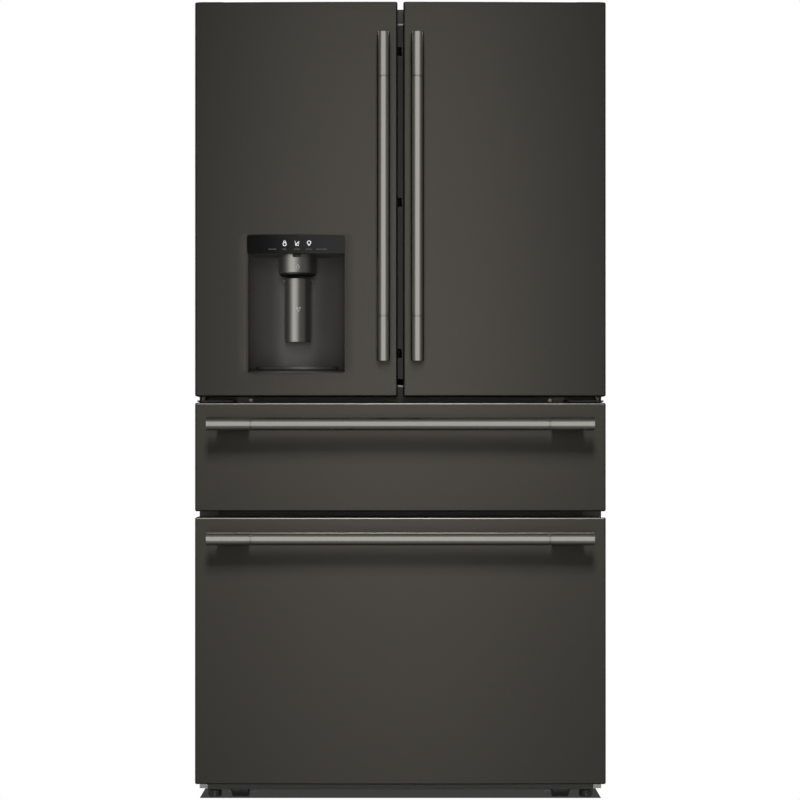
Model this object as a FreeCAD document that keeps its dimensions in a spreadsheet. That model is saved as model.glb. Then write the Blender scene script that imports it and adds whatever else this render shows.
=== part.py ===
import FreeCAD, Part
import Sketcher
import math
import os
import re

# French door refrigerator: two upper doors, a middle drawer and a freezer drawer.
# Millimetres.  X to the right, Y to the back, Z up, floor at Z = 0.

SIZES = {
    "half_width": 454, "bow": 6, "skin": 1.5, "corner": 4,
    "door_front": -387, "skin_back": -322, "door_back": -315, "gasket_back": -303,
    "door_gap": 12.6, "door_low": 901, "door_top": 1772,
    "middle_low": 647, "middle_top": 887, "freezer_low": 44, "freezer_top": 634,
    "gasket_far": 434, "gasket_near": 13, "gasket_width": 16,
    "cabinet_half": 452, "cabinet_front": -302.5, "cabinet_back": 452, "rear": 455,
    "cabinet_low": 30, "cabinet_top": 1774, "wall": 2, "opening_half": 410,
    "fridge_low": 925, "fridge_top": 1742, "bay_back": 385, "liner": 3,
    "tray_low": 662, "tray_top": 876, "tray_back": 300,
    "chill_low": 75, "chill_top": 612, "step_back": 180, "step_top": 330,
    "machine_front": 205, "machine_low": 58, "machine_top": 300, "frame_low": 45, "frame_top": 60,
    "hinge_x": 436, "hinge_y": -345, "pin": 5, "running": 0.05,
    "plate_low": 889, "plate_top": 893, "cover_top": 1786,
    "handle_y": -440.75, "handle_radius": 14.25, "handle_x": 37, "handle_low": 976,
    "handle_top": 1692, "sleeve": 96.5, "post_inset": 20, "post_length": 70, "post_half": 8,
    "pull_half": 422.5, "middle_pull": 839.5, "freezer_pull": 589.3,
    "dyke_far": 398, "dyke_near": 45, "dyke_back": -262, "dyke_low": 938, "dyke_top": 1735,
    "bin_back": -225, "outlet_x": -229.5, "outlet_half": 109.5, "outlet_low": 950,
    "outlet_top": 1259, "cavity_half": 103, "cavity_low": 960, "cavity_top": 1217,
    "cavity_back": -280, "outlet_front": -386.5, "chute_radius": 42, "chute_y": -334,
    "paddle_radius": 30, "paddle_y": -324, "paddle_low": 1022, "paddle_top": 1166,
    "mullion_x": -12, "mullion_y": -290, "mullion_radius": 12.5, "mullion_edge": 24.5,
    "mullion_low": 943, "mullion_top": 1738,
    "rail_far": 407, "rail_height": 20, "rail_front": -296, "rail_back": 204,
    "middle_rail": 715, "freezer_rail": 360, "tub_half": 386,
    "shelf_front": -215, "shelf_back": 340, "shelf_half": 405, "shelf_thick": 5,
    "upper_shelf": 1480, "lower_shelf": 1285, "crisper_lid": 1105,
    "basket_low": 430, "foot_x": 420, "foot_y": -281, "roller_y": -290, "roller_x": 360,
    "front_roller": 20, "rear_roller": 25, "rear_roller_y": 395,
    "dairy_low": 1590, "dairy_top": 1728, "lid_axis_z": 1712, "lid_axis_y": -227,
}

os.makedirs("parts", exist_ok=True)
doc = FreeCAD.newDocument("french_door_refrigerator")
dims = doc.addObject("Spreadsheet::Sheet", "dims")
for row, (alias, value) in enumerate(SIZES.items(), 1):
    dims.set(f"A{row}", alias.replace("_", " "))
    dims.set(f"B{row}", str(value))
    dims.setAlias(f"B{row}", alias)
scratch = doc.addObject("Spreadsheet::Sheet", "scratch")
doc.recompute()

NODES = []


def sheet(text):
    """Write an expression with each size name pointed at the sheet."""
    def point(match):
        word = match.group()
        return "dims." + word if word in SIZES else word
    return re.sub(r"[a-z][a-z_]*", point, str(text))


def number(text):
    """Value of an expression, worked out by a sheet cell."""
    scratch.set("A1", "=" + sheet(text))
    scratch.recompute()
    return float(scratch.get("A1"))


def node(item, label):
    """Name a finished piece and list it for export."""
    item.Label = label
    NODES.append(item)
    return item


def box(x, y, z):
    """Block between a low and a high position on each axis."""
    block = doc.addObject("Part::Box", "block")
    for axis, size, (low, high) in zip("xyz", ("Length", "Width", "Height"), (x, y, z)):
        block.setExpression("Placement.Base." + axis, sheet(low))
        block.setExpression(size, sheet(f"({high}) - ({low})"))
    return block


TURNS = {
    "x": FreeCAD.Rotation(FreeCAD.Vector(0, 1, 0), 90),
    "y": FreeCAD.Rotation(FreeCAD.Vector(1, 0, 0), -90),
    "z": FreeCAD.Rotation(),
}


def rod(axis, start, radius, length):
    """Cylinder that runs from start along the positive axis."""
    bar = doc.addObject("Part::Cylinder", "rod")
    bar.Placement = FreeCAD.Placement(FreeCAD.Vector(), TURNS[axis])
    for letter, place in zip("xyz", start):
        bar.setExpression("Placement.Base." + letter, sheet(place))
    bar.setExpression("Radius", sheet(radius))
    bar.setExpression("Height", sheet(length))
    return bar


def fuse(*items):
    joined = doc.addObject("Part::MultiFuse", "joined")
    joined.Shapes = list(items)
    joined.Refine = True
    return joined


def cut(base, *tools):
    result = doc.addObject("Part::Cut", "trimmed")
    result.Base = base
    result.Tool = tools[0] if len(tools) == 1 else fuse(*tools)
    result.Refine = True
    return result


def edges_where(item, test):
    doc.recompute()
    return [i for i, edge in enumerate(item.Shape.Edges, 1) if test(edge)]


def upright(edge):
    bounds = edge.BoundBox
    return bounds.ZLength > 1 and bounds.XLength < 0.01 and bounds.YLength < 0.01


def rounded(item, radius, test=upright):
    """Round the edges of a primitive that pass the test."""
    result = doc.addObject("Part::Fillet", "rounded")
    result.Base = item
    result.Edges = [(i, radius, radius) for i in edges_where(item, test)]
    return result


def bevelled(item, size, test):
    result = doc.addObject("Part::Chamfer", "bevelled")
    result.Base = item
    result.Edges = [(i, size, size) for i in edges_where(item, test)]
    return result


def span(side, near, far):
    """Low and high X of something between two distances from the centre."""
    return (f"-({far})", f"-({near})") if side < 0 else (near, far)


def grow(pair, amount):
    low, high = pair
    return (f"({low}) - ({amount})", f"({high}) + ({amount})")


def tub(x, y, z, wall, radius, open_top=True):
    """Open tray with rounded upright corners."""
    inner_top = f"({z[1]}) + 5" if open_top else f"({z[1]}) - ({wall})"
    outer = rounded(box(x, y, z), radius)
    inner = rounded(box(grow(x, f"-({wall})"), grow(y, f"-({wall})"),
                        (f"({z[0]}) + ({wall})", inner_top)), radius - wall)
    return cut(outer, inner)


def plane(body, role):
    return next(f for f in body.Origin.OriginFeatures if f.Role == role)


BOW_RADIUS = "(half_width^2 + bow^2) / (2*bow)"
BOW_CENTRE = "door_front + " + BOW_RADIUS


def front_skin(x, z):
    """Folded sheet front: one slow curve across both doors, open at the back."""
    low, high = (number(edge) for edge in x)
    radius, centre, back = number(BOW_RADIUS), number(BOW_CENTRE), number("skin_back")
    body = doc.addObject("PartDesign::Body", "front")
    sketch = body.newObject("Sketcher::SketchObject", "outline")
    sketch.AttachmentSupport = [(plane(body, "XY_Plane"), "")]
    sketch.MapMode = "FlatFace"
    sketch.setExpression("AttachmentOffset.Base.z", sheet(z[0]))
    left, right = (FreeCAD.Vector(px, centre - math.sqrt(radius**2 - px**2), 0)
                   for px in (low, high))
    right_back, left_back = FreeCAD.Vector(high, back, 0), FreeCAD.Vector(low, back, 0)
    circle = Part.Circle(FreeCAD.Vector(0, centre, 0), FreeCAD.Vector(0, 0, 1), radius)
    angles = [math.atan2(end.y - centre, end.x) for end in (left, right)]
    sketch.addGeometry([Part.ArcOfCircle(circle, *angles), Part.LineSegment(right, right_back),
                        Part.LineSegment(right_back, left_back),
                        Part.LineSegment(left_back, left)], False)
    fixed = Sketcher.Constraint
    sketch.addConstraint([fixed("Coincident", i, 2, (i + 1) % 4, 1) for i in range(4)])
    sketch.addConstraint([fixed("Vertical", 1), fixed("Horizontal", 2), fixed("Vertical", 3),
                          fixed("PointOnObject", 0, 3, -2)])
    for name, rule, expression in (
            ("centre", ("DistanceY", -1, 1, 0, 3, centre), BOW_CENTRE),
            ("radius", ("Radius", 0, radius), BOW_RADIUS),
            ("left", ("DistanceX", -1, 1, 3, 1, low), x[0]),
            ("right", ("DistanceX", -1, 1, 1, 1, high), x[1]),
            ("back", ("DistanceY", -1, 1, 2, 1, back), "skin_back")):
        index = sketch.addConstraint(fixed(*rule))
        sketch.renameConstraint(index, name)
        sketch.setExpression("Constraints." + name, sheet(expression))
    pad = body.newObject("PartDesign::Pad", "block")
    pad.Profile = sketch
    pad.setExpression("Length", sheet(f"({z[1]}) - ({z[0]})"))
    limit = number("door_front + bow + 5")
    front_edges = edges_where(pad, lambda edge: edge.BoundBox.YMax < limit)
    fillet = body.newObject("PartDesign::Fillet", "soft_edges")
    fillet.Base = (pad, [f"Edge{i}" for i in front_edges])
    fillet.setExpression("Radius", sheet("corner"))
    doc.recompute()
    rear_face = next(i for i, face in enumerate(fillet.Shape.Faces, 1)
                     if face.BoundBox.YMin > back - 0.1)
    shell = body.newObject("PartDesign::Thickness", "sheet")
    shell.Base = (fillet, [f"Face{rear_face}"])
    shell.Reversed = True
    shell.setExpression("Value", sheet("skin"))
    body.Tip = shell
    return body


def bow_block():
    """Everything behind the curved front face, used to trim handle posts."""
    return rod("z", (0, BOW_CENTRE, 0), BOW_RADIUS, "cabinet_top")


def frame(x, z, y, width):
    """Flat ring, as for a seal or a dyke wall."""
    return cut(box(x, y, z), box(grow(x, f"-({width})"), grow(y, 1), grow(z, f"-({width})")))


def handle(axis, start, length):
    """Round bar in three sections on two flat posts, axis x or z."""
    along = "xyz".index(axis)

    def at(distance):
        place = list(start)
        place[along] = f"({start[along]}) + ({distance})"
        return tuple(place)

    def end_ring(edge):
        bounds = edge.BoundBox
        middle = (bounds.XMin + bounds.XMax, 0, bounds.ZMin + bounds.ZMax)[along] / 2
        first = number(start[along])
        flat = (bounds.XLength, 0, bounds.ZLength)[along] < 0.01
        return flat and min(abs(middle - first), abs(middle - first - number(length))) < 0.1

    bar = fuse(rod(axis, at(0), "handle_radius", "sleeve"),
               rod(axis, at("sleeve"), "handle_radius - 1", f"({length}) - 2*sleeve"),
               rod(axis, at("sleeve + 1.2"), "handle_radius", f"({length}) - 2*sleeve - 2.4"),
               rod(axis, at(f"({length}) - sleeve"), "handle_radius", "sleeve"))
    bar = bevelled(bar, 1.2, end_ring)
    posts = []
    for distance in ("post_inset", f"({length}) - post_inset - post_length"):
        sides = [(f"({centre}) - post_half", f"({centre}) + post_half") for centre in start]
        sides[along] = (f"({start[along]}) + ({distance})",
                        f"({start[along]}) + ({distance}) + post_length")
        sides[1] = ("handle_y", "door_front + bow + 2")
        posts.append(box(*sides))
    return fuse(bar, cut(fuse(*posts), bow_block()))


# ---------------------------------------------------------------- cabinet
inside_half = "cabinet_half - wall"
shell_outer = box(("-cabinet_half", "cabinet_half"), ("cabinet_front", "cabinet_back"),
                  ("cabinet_low", "cabinet_top"))
shell_inner = box((f"-({inside_half})", inside_half), ("cabinet_front + wall", "cabinet_back + 1"),
                  ("cabinet_low - 1", "cabinet_top - wall"))
shell_mouth = box(("-opening_half", "opening_half"), ("cabinet_front - 1", "cabinet_front + 3"),
                  ("cabinet_low - 1", "fridge_top"))
shell_pockets = [box(span(side, "cabinet_half - 18", inside_half),
                     ("cabinet_front - 1", "cabinet_front + wall"),
                     ("cabinet_low - 1", "frame_top - 2")) for side in (-1, 1)]
node(cut(shell_outer, shell_inner, shell_mouth, *shell_pockets), "cabinet_shell")

rear_x = (f"-({inside_half}) - 1", f"{inside_half} + 1")
node(box(rear_x, ("cabinet_back", "rear"), ("machine_top", "cabinet_top - 1")), "rear_panel")

bay = (("-opening_half", "opening_half"), ("cabinet_front", "bay_back"),
       ("fridge_low", "fridge_top"))
tray_bay = (bay[0], ("cabinet_front", "tray_back"), ("tray_low", "tray_top"))
chill_high = (bay[0], ("cabinet_front", "bay_back"), ("step_top", "chill_top"))
chill_low = (bay[0], ("cabinet_front", "step_back"), ("chill_low", "chill_top"))


def hollow(block):
    """Space inside a compartment lining of even thickness."""
    x, y, z = block
    return (grow(x, "-liner"), (f"({y[0]}) - 20", f"({y[1]}) - liner"), grow(z, "-liner"))


def ledges(height, back):
    """Pair of ribs along the side walls that carry a shelf."""
    return [box(span(side, "opening_half - 14", "opening_half - liner"),
                ("shelf_front + 11", back), (f"({height}) - 8", height)) for side in (-1, 1)]


fridge_shell = cut(box(*bay), rounded(box(*hollow(bay)), 12))
node(fuse(fridge_shell, *ledges("upper_shelf", "shelf_back"), *ledges("lower_shelf", "shelf_back"),
          *ledges("crisper_lid", "shelf_back")), "fridge_liner")
node(cut(box(*tray_bay), rounded(box(*hollow(tray_bay)), 12)), "middle_liner")
chill_space = fuse(box(*hollow(chill_high)), box(*hollow(chill_low)))
chill_shell = cut(fuse(box(*chill_high), box(*chill_low)), chill_space)
basket_runners = [box(span(side, "opening_half - 14", "opening_half - liner - 0.1"),
                      ("shelf_front + 11", "shelf_back"), ("basket_low - 8", "basket_low"))
                  for side in (-1, 1)]
node(fuse(chill_shell, *basket_runners), "freezer_liner")

rails = []
for low, high in (("tray_top", "fridge_low"), ("chill_top", "tray_low"),
                  ("frame_top", "chill_low")):
    beam = box(bay[0], ("cabinet_front", "cabinet_front + 14"), (low, high))
    recess = box(grow(bay[0], -3), ("cabinet_front + wall", "cabinet_front + 15"),
                 grow((low, high), "-wall"))
    rails.append(cut(beam, recess))
node(fuse(*rails), "cross_rails")

foam_block = box((f"-({inside_half})", inside_half), ("cabinet_front + wall", "cabinet_back"),
                 ("frame_top", "cabinet_top - wall"))
machine_space = box((f"-({inside_half})", inside_half), ("machine_front", "cabinet_back + 1"),
                    ("frame_top - 1", "machine_top"))
rail_space = [box(bay[0], ("cabinet_front", "cabinet_front + 14"), pair)
              for pair in (("tray_top", "fridge_low"), ("chill_top", "tray_low"),
                           ("frame_top", "chill_low"))]
node(cut(foam_block, box(*bay), box(*tray_bay), box(*chill_high), box(*chill_low),
         machine_space, *rail_space), "cabinet_foam")

# ---------------------------------------------------------------- base, feet, rollers
base = [box((f"-({inside_half})", inside_half), ("cabinet_front + wall", "-262"),
            ("frame_low", "frame_top")),
        box((f"-({inside_half})", inside_half), ("machine_front", "cabinet_back"),
            ("machine_low - 6", "machine_low"))]
stem_holes = []
for side in (-1, 1):
    base.append(box(span(side, "cabinet_half - 22", inside_half),
                    ("cabinet_front + wall", "cabinet_back"), ("frame_low", "frame_top")))
    base.append(box(span(side, 325, 336), ("roller_y - 5", "roller_y + 5"), (11, 19)))
    for place, radius, top in (("roller_y", "front_roller", "frame_low"),
                               ("rear_roller_y", "rear_roller", "machine_low - 6")):
        for near in ("roller_x - 25", "roller_x + 22"):
            base.append(box(span(side, near, f"{near} + 3"),
                            (f"({place}) - 10", f"({place}) + 10"), (f"{radius} - 8", top)))
        start = "roller_x - 25" if side > 0 else "-(roller_x + 25)"
        base.append(rod("x", (start, place, radius), 4, 50))
    stem_holes.append(rod("z", (f"{side}*foot_x", "foot_y", "frame_low - 1"), "5 + running", 20))
node(cut(fuse(*base), *stem_holes), "base_frame")

for side, name in ((-1, "left"), (1, "right")):
    pad = bevelled(rod("z", (f"{side}*foot_x", "foot_y", 0), 16, 16), 1.5,
                   lambda edge: edge.BoundBox.ZMax < 0.1)
    nut = rod("z", (f"{side}*foot_x", "foot_y", 16), 9, 4)
    stem = rod("z", (f"{side}*foot_x", "foot_y", 20), 5, "frame_top - 20")
    node(fuse(pad, nut, stem), f"foot_{name}")

for place, radius, half, label in (("roller_y", "front_roller", 20, "front_rollers"),
                                   ("rear_roller_y", "rear_roller", 16, "rear_rollers")):
    wheels = []
    for side in (-1, 1):
        start = f"{side}*roller_x - {half}"
        wheel = bevelled(rod("x", (start, place, radius), radius, 2 * half), 3,
                         lambda edge: edge.BoundBox.XLength < 0.01)
        wheels.append(cut(wheel, rod("x", (f"{start} - 1", place, radius), "4 + running",
                                     2 * half + 2)))
    node(fuse(*wheels), label)

kick = box((-431, 431), (-322, -318), (22, 40.5))
tabs = [box(span(side, 290, 312), y, z) for side in (-1, 1)
        for y, z in (((-318, -284), (37, 40.5)), ((-299, -284), (37, "frame_low")))]
node(fuse(rounded(kick, 1.5), *tabs), "toe_grille")

corners = []
for side in (-1, 1):
    corners.append(box(span(side, "cabinet_half - 18", "cabinet_half"),
                       ("cabinet_front", "cabinet_front + wall"), (21, "cabinet_low")))
    corners.append(box(span(side, "cabinet_half - 18", inside_half),
                       ("cabinet_front", "cabinet_front + wall"), (21, "frame_top - 2")))
node(fuse(*corners), "corner_brackets")

# ---------------------------------------------------------------- hinges
top_parts, covers, low_parts = [], [], []
for side in (-1, 1):
    centre = f"{side}*hinge_x"
    top_parts.append(box(span(side, 396, "cabinet_half"), ("hinge_y - 10", -244),
                         ("cabinet_top", "cabinet_top + 2.5")))
    top_parts.append(rod("z", (centre, "hinge_y", "door_top - 22"), "pin",
                         "cabinet_top + 2.5 - door_top + 22"))
    for place in (-262, -286):
        top_parts.append(rod("z", (f"{side}*418", place, "cabinet_top + 2.5"), 6, 4))
    nose = rounded(box(span(side, 390, "cabinet_half + 2"), ("hinge_y - 12", -300),
                       ("cabinet_top", "cabinet_top + 4")), 6)
    hood = rounded(box(span(side, 390, "cabinet_half + 2"), ("hinge_y + 17", -236),
                       ("cabinet_top", "cover_top")), 6)
    covers.append(cut(fuse(nose, hood),
                      box(span(side, 392, "cabinet_half"), ("hinge_y - 10", -290),
                          ("cabinet_top - 1", "cabinet_top + 2.5")),
                      box(span(side, 392, "cabinet_half"), ("hinge_y + 19", -238),
                          ("cabinet_top - 1", "cover_top - 2"))))
    low_parts.append(box(span(side, 365, "cabinet_half"), ("hinge_y - 17", "cabinet_front"),
                         ("plate_low", "plate_top")))
    low_parts.append(box(span(side, 320, "cabinet_half"),
                         ("cabinet_front - 2", "cabinet_front"), ("plate_low - 3", "plate_top + 17")))
    low_parts.append(rod("z", (centre, "hinge_y", "plate_low"), "pin", 26))
    low_parts.append(rod("y", (f"{side}*331", "cabinet_front - 5", "plate_low + 5"), 5.5, 3))
node(fuse(*top_parts), "top_hinges")
node(fuse(*covers), "hinge_covers")
node(fuse(*low_parts), "centre_hinges")

# ---------------------------------------------------------------- inside the fresh food bay
panes = []
for height in ("upper_shelf", "lower_shelf"):
    for side in (-1, 1):
        x = span(side, 3, "shelf_half")
        pane = box(x, ("shelf_front", "shelf_back"), (height, f"{height} + shelf_thick"))
        lip = box(x, ("shelf_front", "shelf_front + 10"), (f"{height} - 12", height))
        brace = box(span(side, 3, 12), ("shelf_front", "shelf_back + 15"),
                    (f"{height} - 22", height))
        panes.append(fuse(pane, lip, brace))
node(fuse(*panes), "glass_shelves")
cover = box(("-shelf_half", "shelf_half"), ("shelf_front", "shelf_back"),
            ("crisper_lid", "crisper_lid + shelf_thick"))
cover_lip = box(("-shelf_half", "shelf_half"), ("shelf_front", "shelf_front + 10"),
                ("crisper_lid + shelf_thick", "crisper_lid + 14"))
node(fuse(cover, cover_lip), "crisper_cover")
crispers = []
for side in (-1, 1):
    bay_x = span(side, 5, 392)
    bin_y = ("shelf_front + 10", 320)
    drawer = tub(bay_x, bin_y, ("fridge_low + liner", "crisper_lid - 8"), 3, 14)
    grip = rounded(box(grow(bay_x, -90), ("shelf_front - 4", "shelf_front + 10"),
                       ("crisper_lid - 34", "crisper_lid - 14")), 4)
    crispers.append(fuse(drawer, grip))
node(fuse(*crispers), "crispers")

duct = rounded(box((-150, 150), (355, "bay_back - liner"), ("crisper_lid + 30", "fridge_top - 12")), 8)
vents = [box((-90, 90), (350, 362), (f"crisper_lid + {rise}", f"crisper_lid + {rise + 8}"))
         for first in (110, 300, 500) for rise in range(first, first + 60, 18)]
node(cut(duct, *vents), "air_duct")

# ---------------------------------------------------------------- machine space
barrel = rounded(rod("z", (230, 325, "machine_low + 14"), 82, 165), 36,
                 lambda edge: edge.BoundBox.ZLength < 0.01)
mounts = [rod("z", (230 + 75 * sx, 325 + 60 * sy, "machine_low"), 12, 18)
          for sx in (-1, 1) for sy in (-1, 1)]
plate = box((140, 320), (250, 400), ("machine_low + 12", "machine_low + 16"))
pipe = rod("z", (175, 325, 200), 5, 60)
node(fuse(barrel, plate, pipe, *mounts), "compressor")

fins = [box((-390 + 14 * i, -388 + 14 * i), (225, 290), ("machine_low", 238)) for i in range(22)]
tubes = [rod("x", (-400, 240 + 34 * j, 90 + 40 * k), 4, 324) for j in range(2) for k in range(4)]
ring = cut(box((-330, -130), (318, 330), ("machine_low", 268)),
           rod("y", (-230, 317, 163), 92, 14))
arms = [box((-330, -130), (322, 326), (159, 167)), rod("y", (-230, 318, 163), 14, 22),
        rod("y", (-230, 340, 163), 4, 22)]
side_straps = [box((low, low + 14), (288, 330), (180, 190)) for low in (-330, -144)]
node(fuse(*fins, *tubes, ring, *arms, *side_straps), "condenser")
hub = cut(rod("y", (-230, 342, 163), 24, 18), rod("y", (-230, 341, 163), "4 + running", 20))
blades = []
for step in range(5):
    angle = 72 * step
    blade = doc.addObject("Part::Box", "blade")
    blade.Length, blade.Width, blade.Height = 46, 2, 62
    turn = FreeCAD.Rotation(FreeCAD.Vector(0, 1, 0), angle)
    pitch = FreeCAD.Rotation(FreeCAD.Vector(0, 0, 1), 18)
    offset = turn.multVec(FreeCAD.Vector(-22, 0, 20))
    blade.Placement = FreeCAD.Placement(FreeCAD.Vector(-230, 351, 163) + offset, turn * pitch)
    blades.append(blade)
node(fuse(hub, *blades), "condenser_fan")

slots = [box((-400 + 100 * i, -330 + 100 * i), (440, 460), (80 + 22 * j, 90 + 22 * j))
         for i in range(8) for j in range(9)]
grille = cut(box((-432, 432), ("cabinet_back", "rear"), (64, "machine_top")), *slots)
glands = [rod("y", (-416, "cabinet_back - 8", 280), 9, 11),
          rod("y", (416, "cabinet_back - 8", 280), 7, 11)]
node(fuse(grille, *glands), "machine_cover")

# ---------------------------------------------------------------- slides


def channel(side, z, near, far, half, y, wall_side):
    """Folded slide member; wall_side picks which edge the web is on."""
    body = box(span(side, near, far), y, (f"{z} - {half}", f"{z} + {half}"))
    cavity = (near - 1, f"{far} - 1.5") if wall_side == "outer" else (near + 2, f"{far} + 1")
    return cut(body, box(span(side, *cavity), grow(y, 1),
                         (f"{z} - {half} + 1.5", f"{z} + {half} - 1.5")))


slide_y = ("rail_front", "rail_back")
node(fuse(*[channel(side, z, 395, "rail_far", "rail_height", slide_y, "outer")
            for side in (-1, 1) for z in ("middle_rail", "freezer_rail")]), "fixed_slides")
for z, label in (("middle_rail", "middle"), ("freezer_rail", "freezer")):
    node(fuse(*[channel(side, z, 394, "(rail_far - 2)", "(rail_height - 2)", slide_y, "outer")
                for side in (-1, 1)]), f"{label}_slide_members")
    node(fuse(*[channel(side, z, 386, "(rail_far - 4)", "(rail_height - 4)",
                        ("door_back", "rail_back"), "inner")
                for side in (-1, 1)]), f"{label}_drawer_runners")

# ---------------------------------------------------------------- upper doors


def door_back_panel(x, z, *extra):
    panel = box(grow(x, -0.8), ("skin_back", "door_back"), grow(z, -0.8))
    return fuse(panel, *extra) if extra else panel


door_z = ("door_low", "door_top")
outlet_x = ("outlet_x - outlet_half", "outlet_x + outlet_half")
outlet_z = ("outlet_low", "outlet_top")


def outlet_block():
    """Outside of the dispenser housing, also the hole it sits in."""
    def across(edge):
        bounds = edge.BoundBox
        return bounds.YLength > 20 and bounds.XLength < 0.01 and bounds.ZLength < 0.01
    return rounded(box(outlet_x, ("door_front - 3", "dyke_back"), outlet_z), 9, across)


for side, name in ((-1, "left"), (1, "right")):
    x = span(side, "door_gap / 2", "half_width")
    holes = [rod("z", (f"{side}*hinge_x", "hinge_y", low), "pin + running", 12)
             for low in ("door_low - 5", "door_top - 7")]
    trims = holes + [outlet_block()] if side < 0 else holes
    node(cut(front_skin(x, door_z), *trims), f"{name}_door_skin")
    dyke = frame(span(side, "dyke_near", "dyke_far"), ("dyke_low", "dyke_top"),
                 ("door_back + 0.1", "dyke_back"), 3)
    panel = door_back_panel(x, door_z, dyke)
    if side < 0:
        panel = cut(panel, outlet_block())
    node(panel, f"{name}_door_liner")
    node(frame(span(side, "gasket_near", "gasket_far"), (912, 1760),
               ("door_back", "gasket_back"), "gasket_width"), f"{name}_door_gasket")
    node(handle("z", (f"{side}*handle_x", "handle_y", "handle_low"), "handle_top - handle_low"),
         f"{name}_door_handle")


def door_bins(side, places, front):
    """Hanging bins between the two dyke walls of a door."""
    x = span(side, "dyke_near + 3", "dyke_far - 3")
    return [tub(x, (start, "bin_back"), (low, high), 3, 6)
            for (low, high), start in zip(places, front)]


node(fuse(*door_bins(-1, ((1040, 1150), (1585, 1690)), ("dyke_back", "door_back"))),
     "left_door_bins")
dairy_x = ("dyke_near + 3", "dyke_far - 3")
dairy_case = [box(edge, ("door_back", "bin_back + 4"), ("dairy_low", "dairy_top"))
              for edge in ((dairy_x[0], "dyke_near + 7"), ("dyke_far - 7", dairy_x[1]))]
dairy_case.append(box(dairy_x, ("door_back", "bin_back - 8"), ("dairy_low", "dairy_low + 4")))
dairy_case = cut(fuse(*dairy_case), rod("x", ("dyke_near - 1", "lid_axis_y", "lid_axis_z"),
                                        "2 + running", "dyke_far - dyke_near + 2"))
node(fuse(dairy_case, *door_bins(1, ((958, 1078), (1165, 1285), (1375, 1495)),
                                 ("door_back",) * 3)), "right_door_bins")

flap = box(("dyke_near + 8", "dyke_far - 8"), ("lid_axis_y - 2", "lid_axis_y + 2"),
           ("dairy_low + 8", "lid_axis_z + 3"))
flap_pin = rod("x", ("dyke_near + 1", "lid_axis_y", "lid_axis_z"), 2,
               "dyke_far - dyke_near - 2")
flap_grip = box((180, 263), ("lid_axis_y + 2", "lid_axis_y + 8"), ("dairy_low + 10", "dairy_low + 16"))
node(fuse(flap, flap_pin, flap_grip), "dairy_lid")

# ice compartment on the left door, above the dispenser
ice_x = span(-1, "dyke_near + 3", "dyke_far - 3")
ice_z = (1285, 1560)
ice_box = rounded(box(ice_x, ("door_back", "bin_back"), ice_z), 8)
ice_space = box(grow(ice_x, -10), ("door_back + 6", "bin_back - 10"), grow(ice_z, -10))
drop = rod("z", ("outlet_x", -280, 1280), 26, 20)
seam = frame(grow(ice_x, -14), grow(ice_z, -14), ("bin_back - 1.5", "bin_back + 1"), 2)
latch = rounded(box((-80, -62), ("bin_back", "bin_back + 5"), (1400, 1450)), 2)
node(fuse(cut(ice_box, ice_space, drop, seam), latch), "ice_compartment")

# ---------------------------------------------------------------- dispenser


def back_corner(edge):
    return upright(edge) and edge.BoundBox.YMin > number("cavity_back") - 1


cavity = rounded(box(("outlet_x - cavity_half", "outlet_x + cavity_half"),
                     ("door_front - 10", "cavity_back"), ("cavity_low", "cavity_top")),
                 60, back_corner)
front_trim = box(("outlet_x - 130", "outlet_x + 130"), ("door_front - 9", "outlet_front"),
                 ("outlet_low - 5", "outlet_top + 5"))
strip = (("outlet_x - outlet_half + 4", "outlet_x + outlet_half - 4"),
         ("outlet_front", "outlet_front + 3"), ("cavity_top", "outlet_top - 4"))
node(cut(outlet_block(), front_trim, cavity, box(*strip)), "dispenser_housing")
node(box(*strip), "control_panel")

collar = rod("z", ("outlet_x", "chute_y", "paddle_top + 5"), "chute_radius",
             "cavity_top - paddle_top - 5")
bore = rod("z", ("outlet_x", "chute_y", "paddle_top"), "chute_radius - 8", 43)
ears = [box((f"outlet_x + {near}", f"outlet_x + {near + 4}"), ("paddle_y - 7", "paddle_y + 7"),
            ("paddle_top - 12", "paddle_top + 12")) for near in (32, -36)]
nozzle = rod("z", ("outlet_x", "chute_y - 20", "paddle_top + 8"), 4, 42)
pivot_hole = rod("x", ("outlet_x - 40", "paddle_y", "paddle_top - 5"), "2 + running", 80)
ribs = [box((f"outlet_x + {near}", f"outlet_x + {near + 4}"), ("paddle_y - 7", "paddle_y + 7"),
            ("paddle_top + 5", "cavity_top")) for near in (32, -36)]
strut = box(("outlet_x - 4", "outlet_x + 4"), ("chute_y - 35", "chute_y - 18"),
            ("cavity_top - 8", "cavity_top"))
node(cut(fuse(cut(collar, bore), *ears, *ribs, nozzle, strut), pivot_hole), "dispenser_chute")

tongue_outer = rod("z", ("outlet_x", "paddle_y", "paddle_low"), "paddle_radius",
                   "paddle_top - paddle_low")
tongue_inner = rod("z", ("outlet_x", "paddle_y", "paddle_low - 1"), "paddle_radius - 3",
                   "paddle_top - paddle_low - 9")
rear_half = box(("outlet_x - 40", "outlet_x + 40"), ("paddle_y + 3", "paddle_y + 40"),
                ("paddle_low - 2", "paddle_top + 2"))
tongue_pin = rod("x", ("outlet_x - 35", "paddle_y", "paddle_top - 5"), 2, 70)
node(fuse(cut(tongue_outer, tongue_inner, rear_half), tongue_pin), "dispenser_paddle")


def tray_front(edge):
    return upright(edge) and edge.BoundBox.YMax > -300


tray = rounded(box(("outlet_x - 92", "outlet_x + 92"), (-381, -286), ("cavity_low", "cavity_low + 8")),
               48, tray_front)
grid = [box((f"outlet_x - 60 + {12 * i}", f"outlet_x - 54 + {12 * i}"), (-366, -306),
            ("cavity_low + 4", "cavity_low + 9")) for i in range(11)]
node(cut(tray, *grid), "drip_tray")

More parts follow.
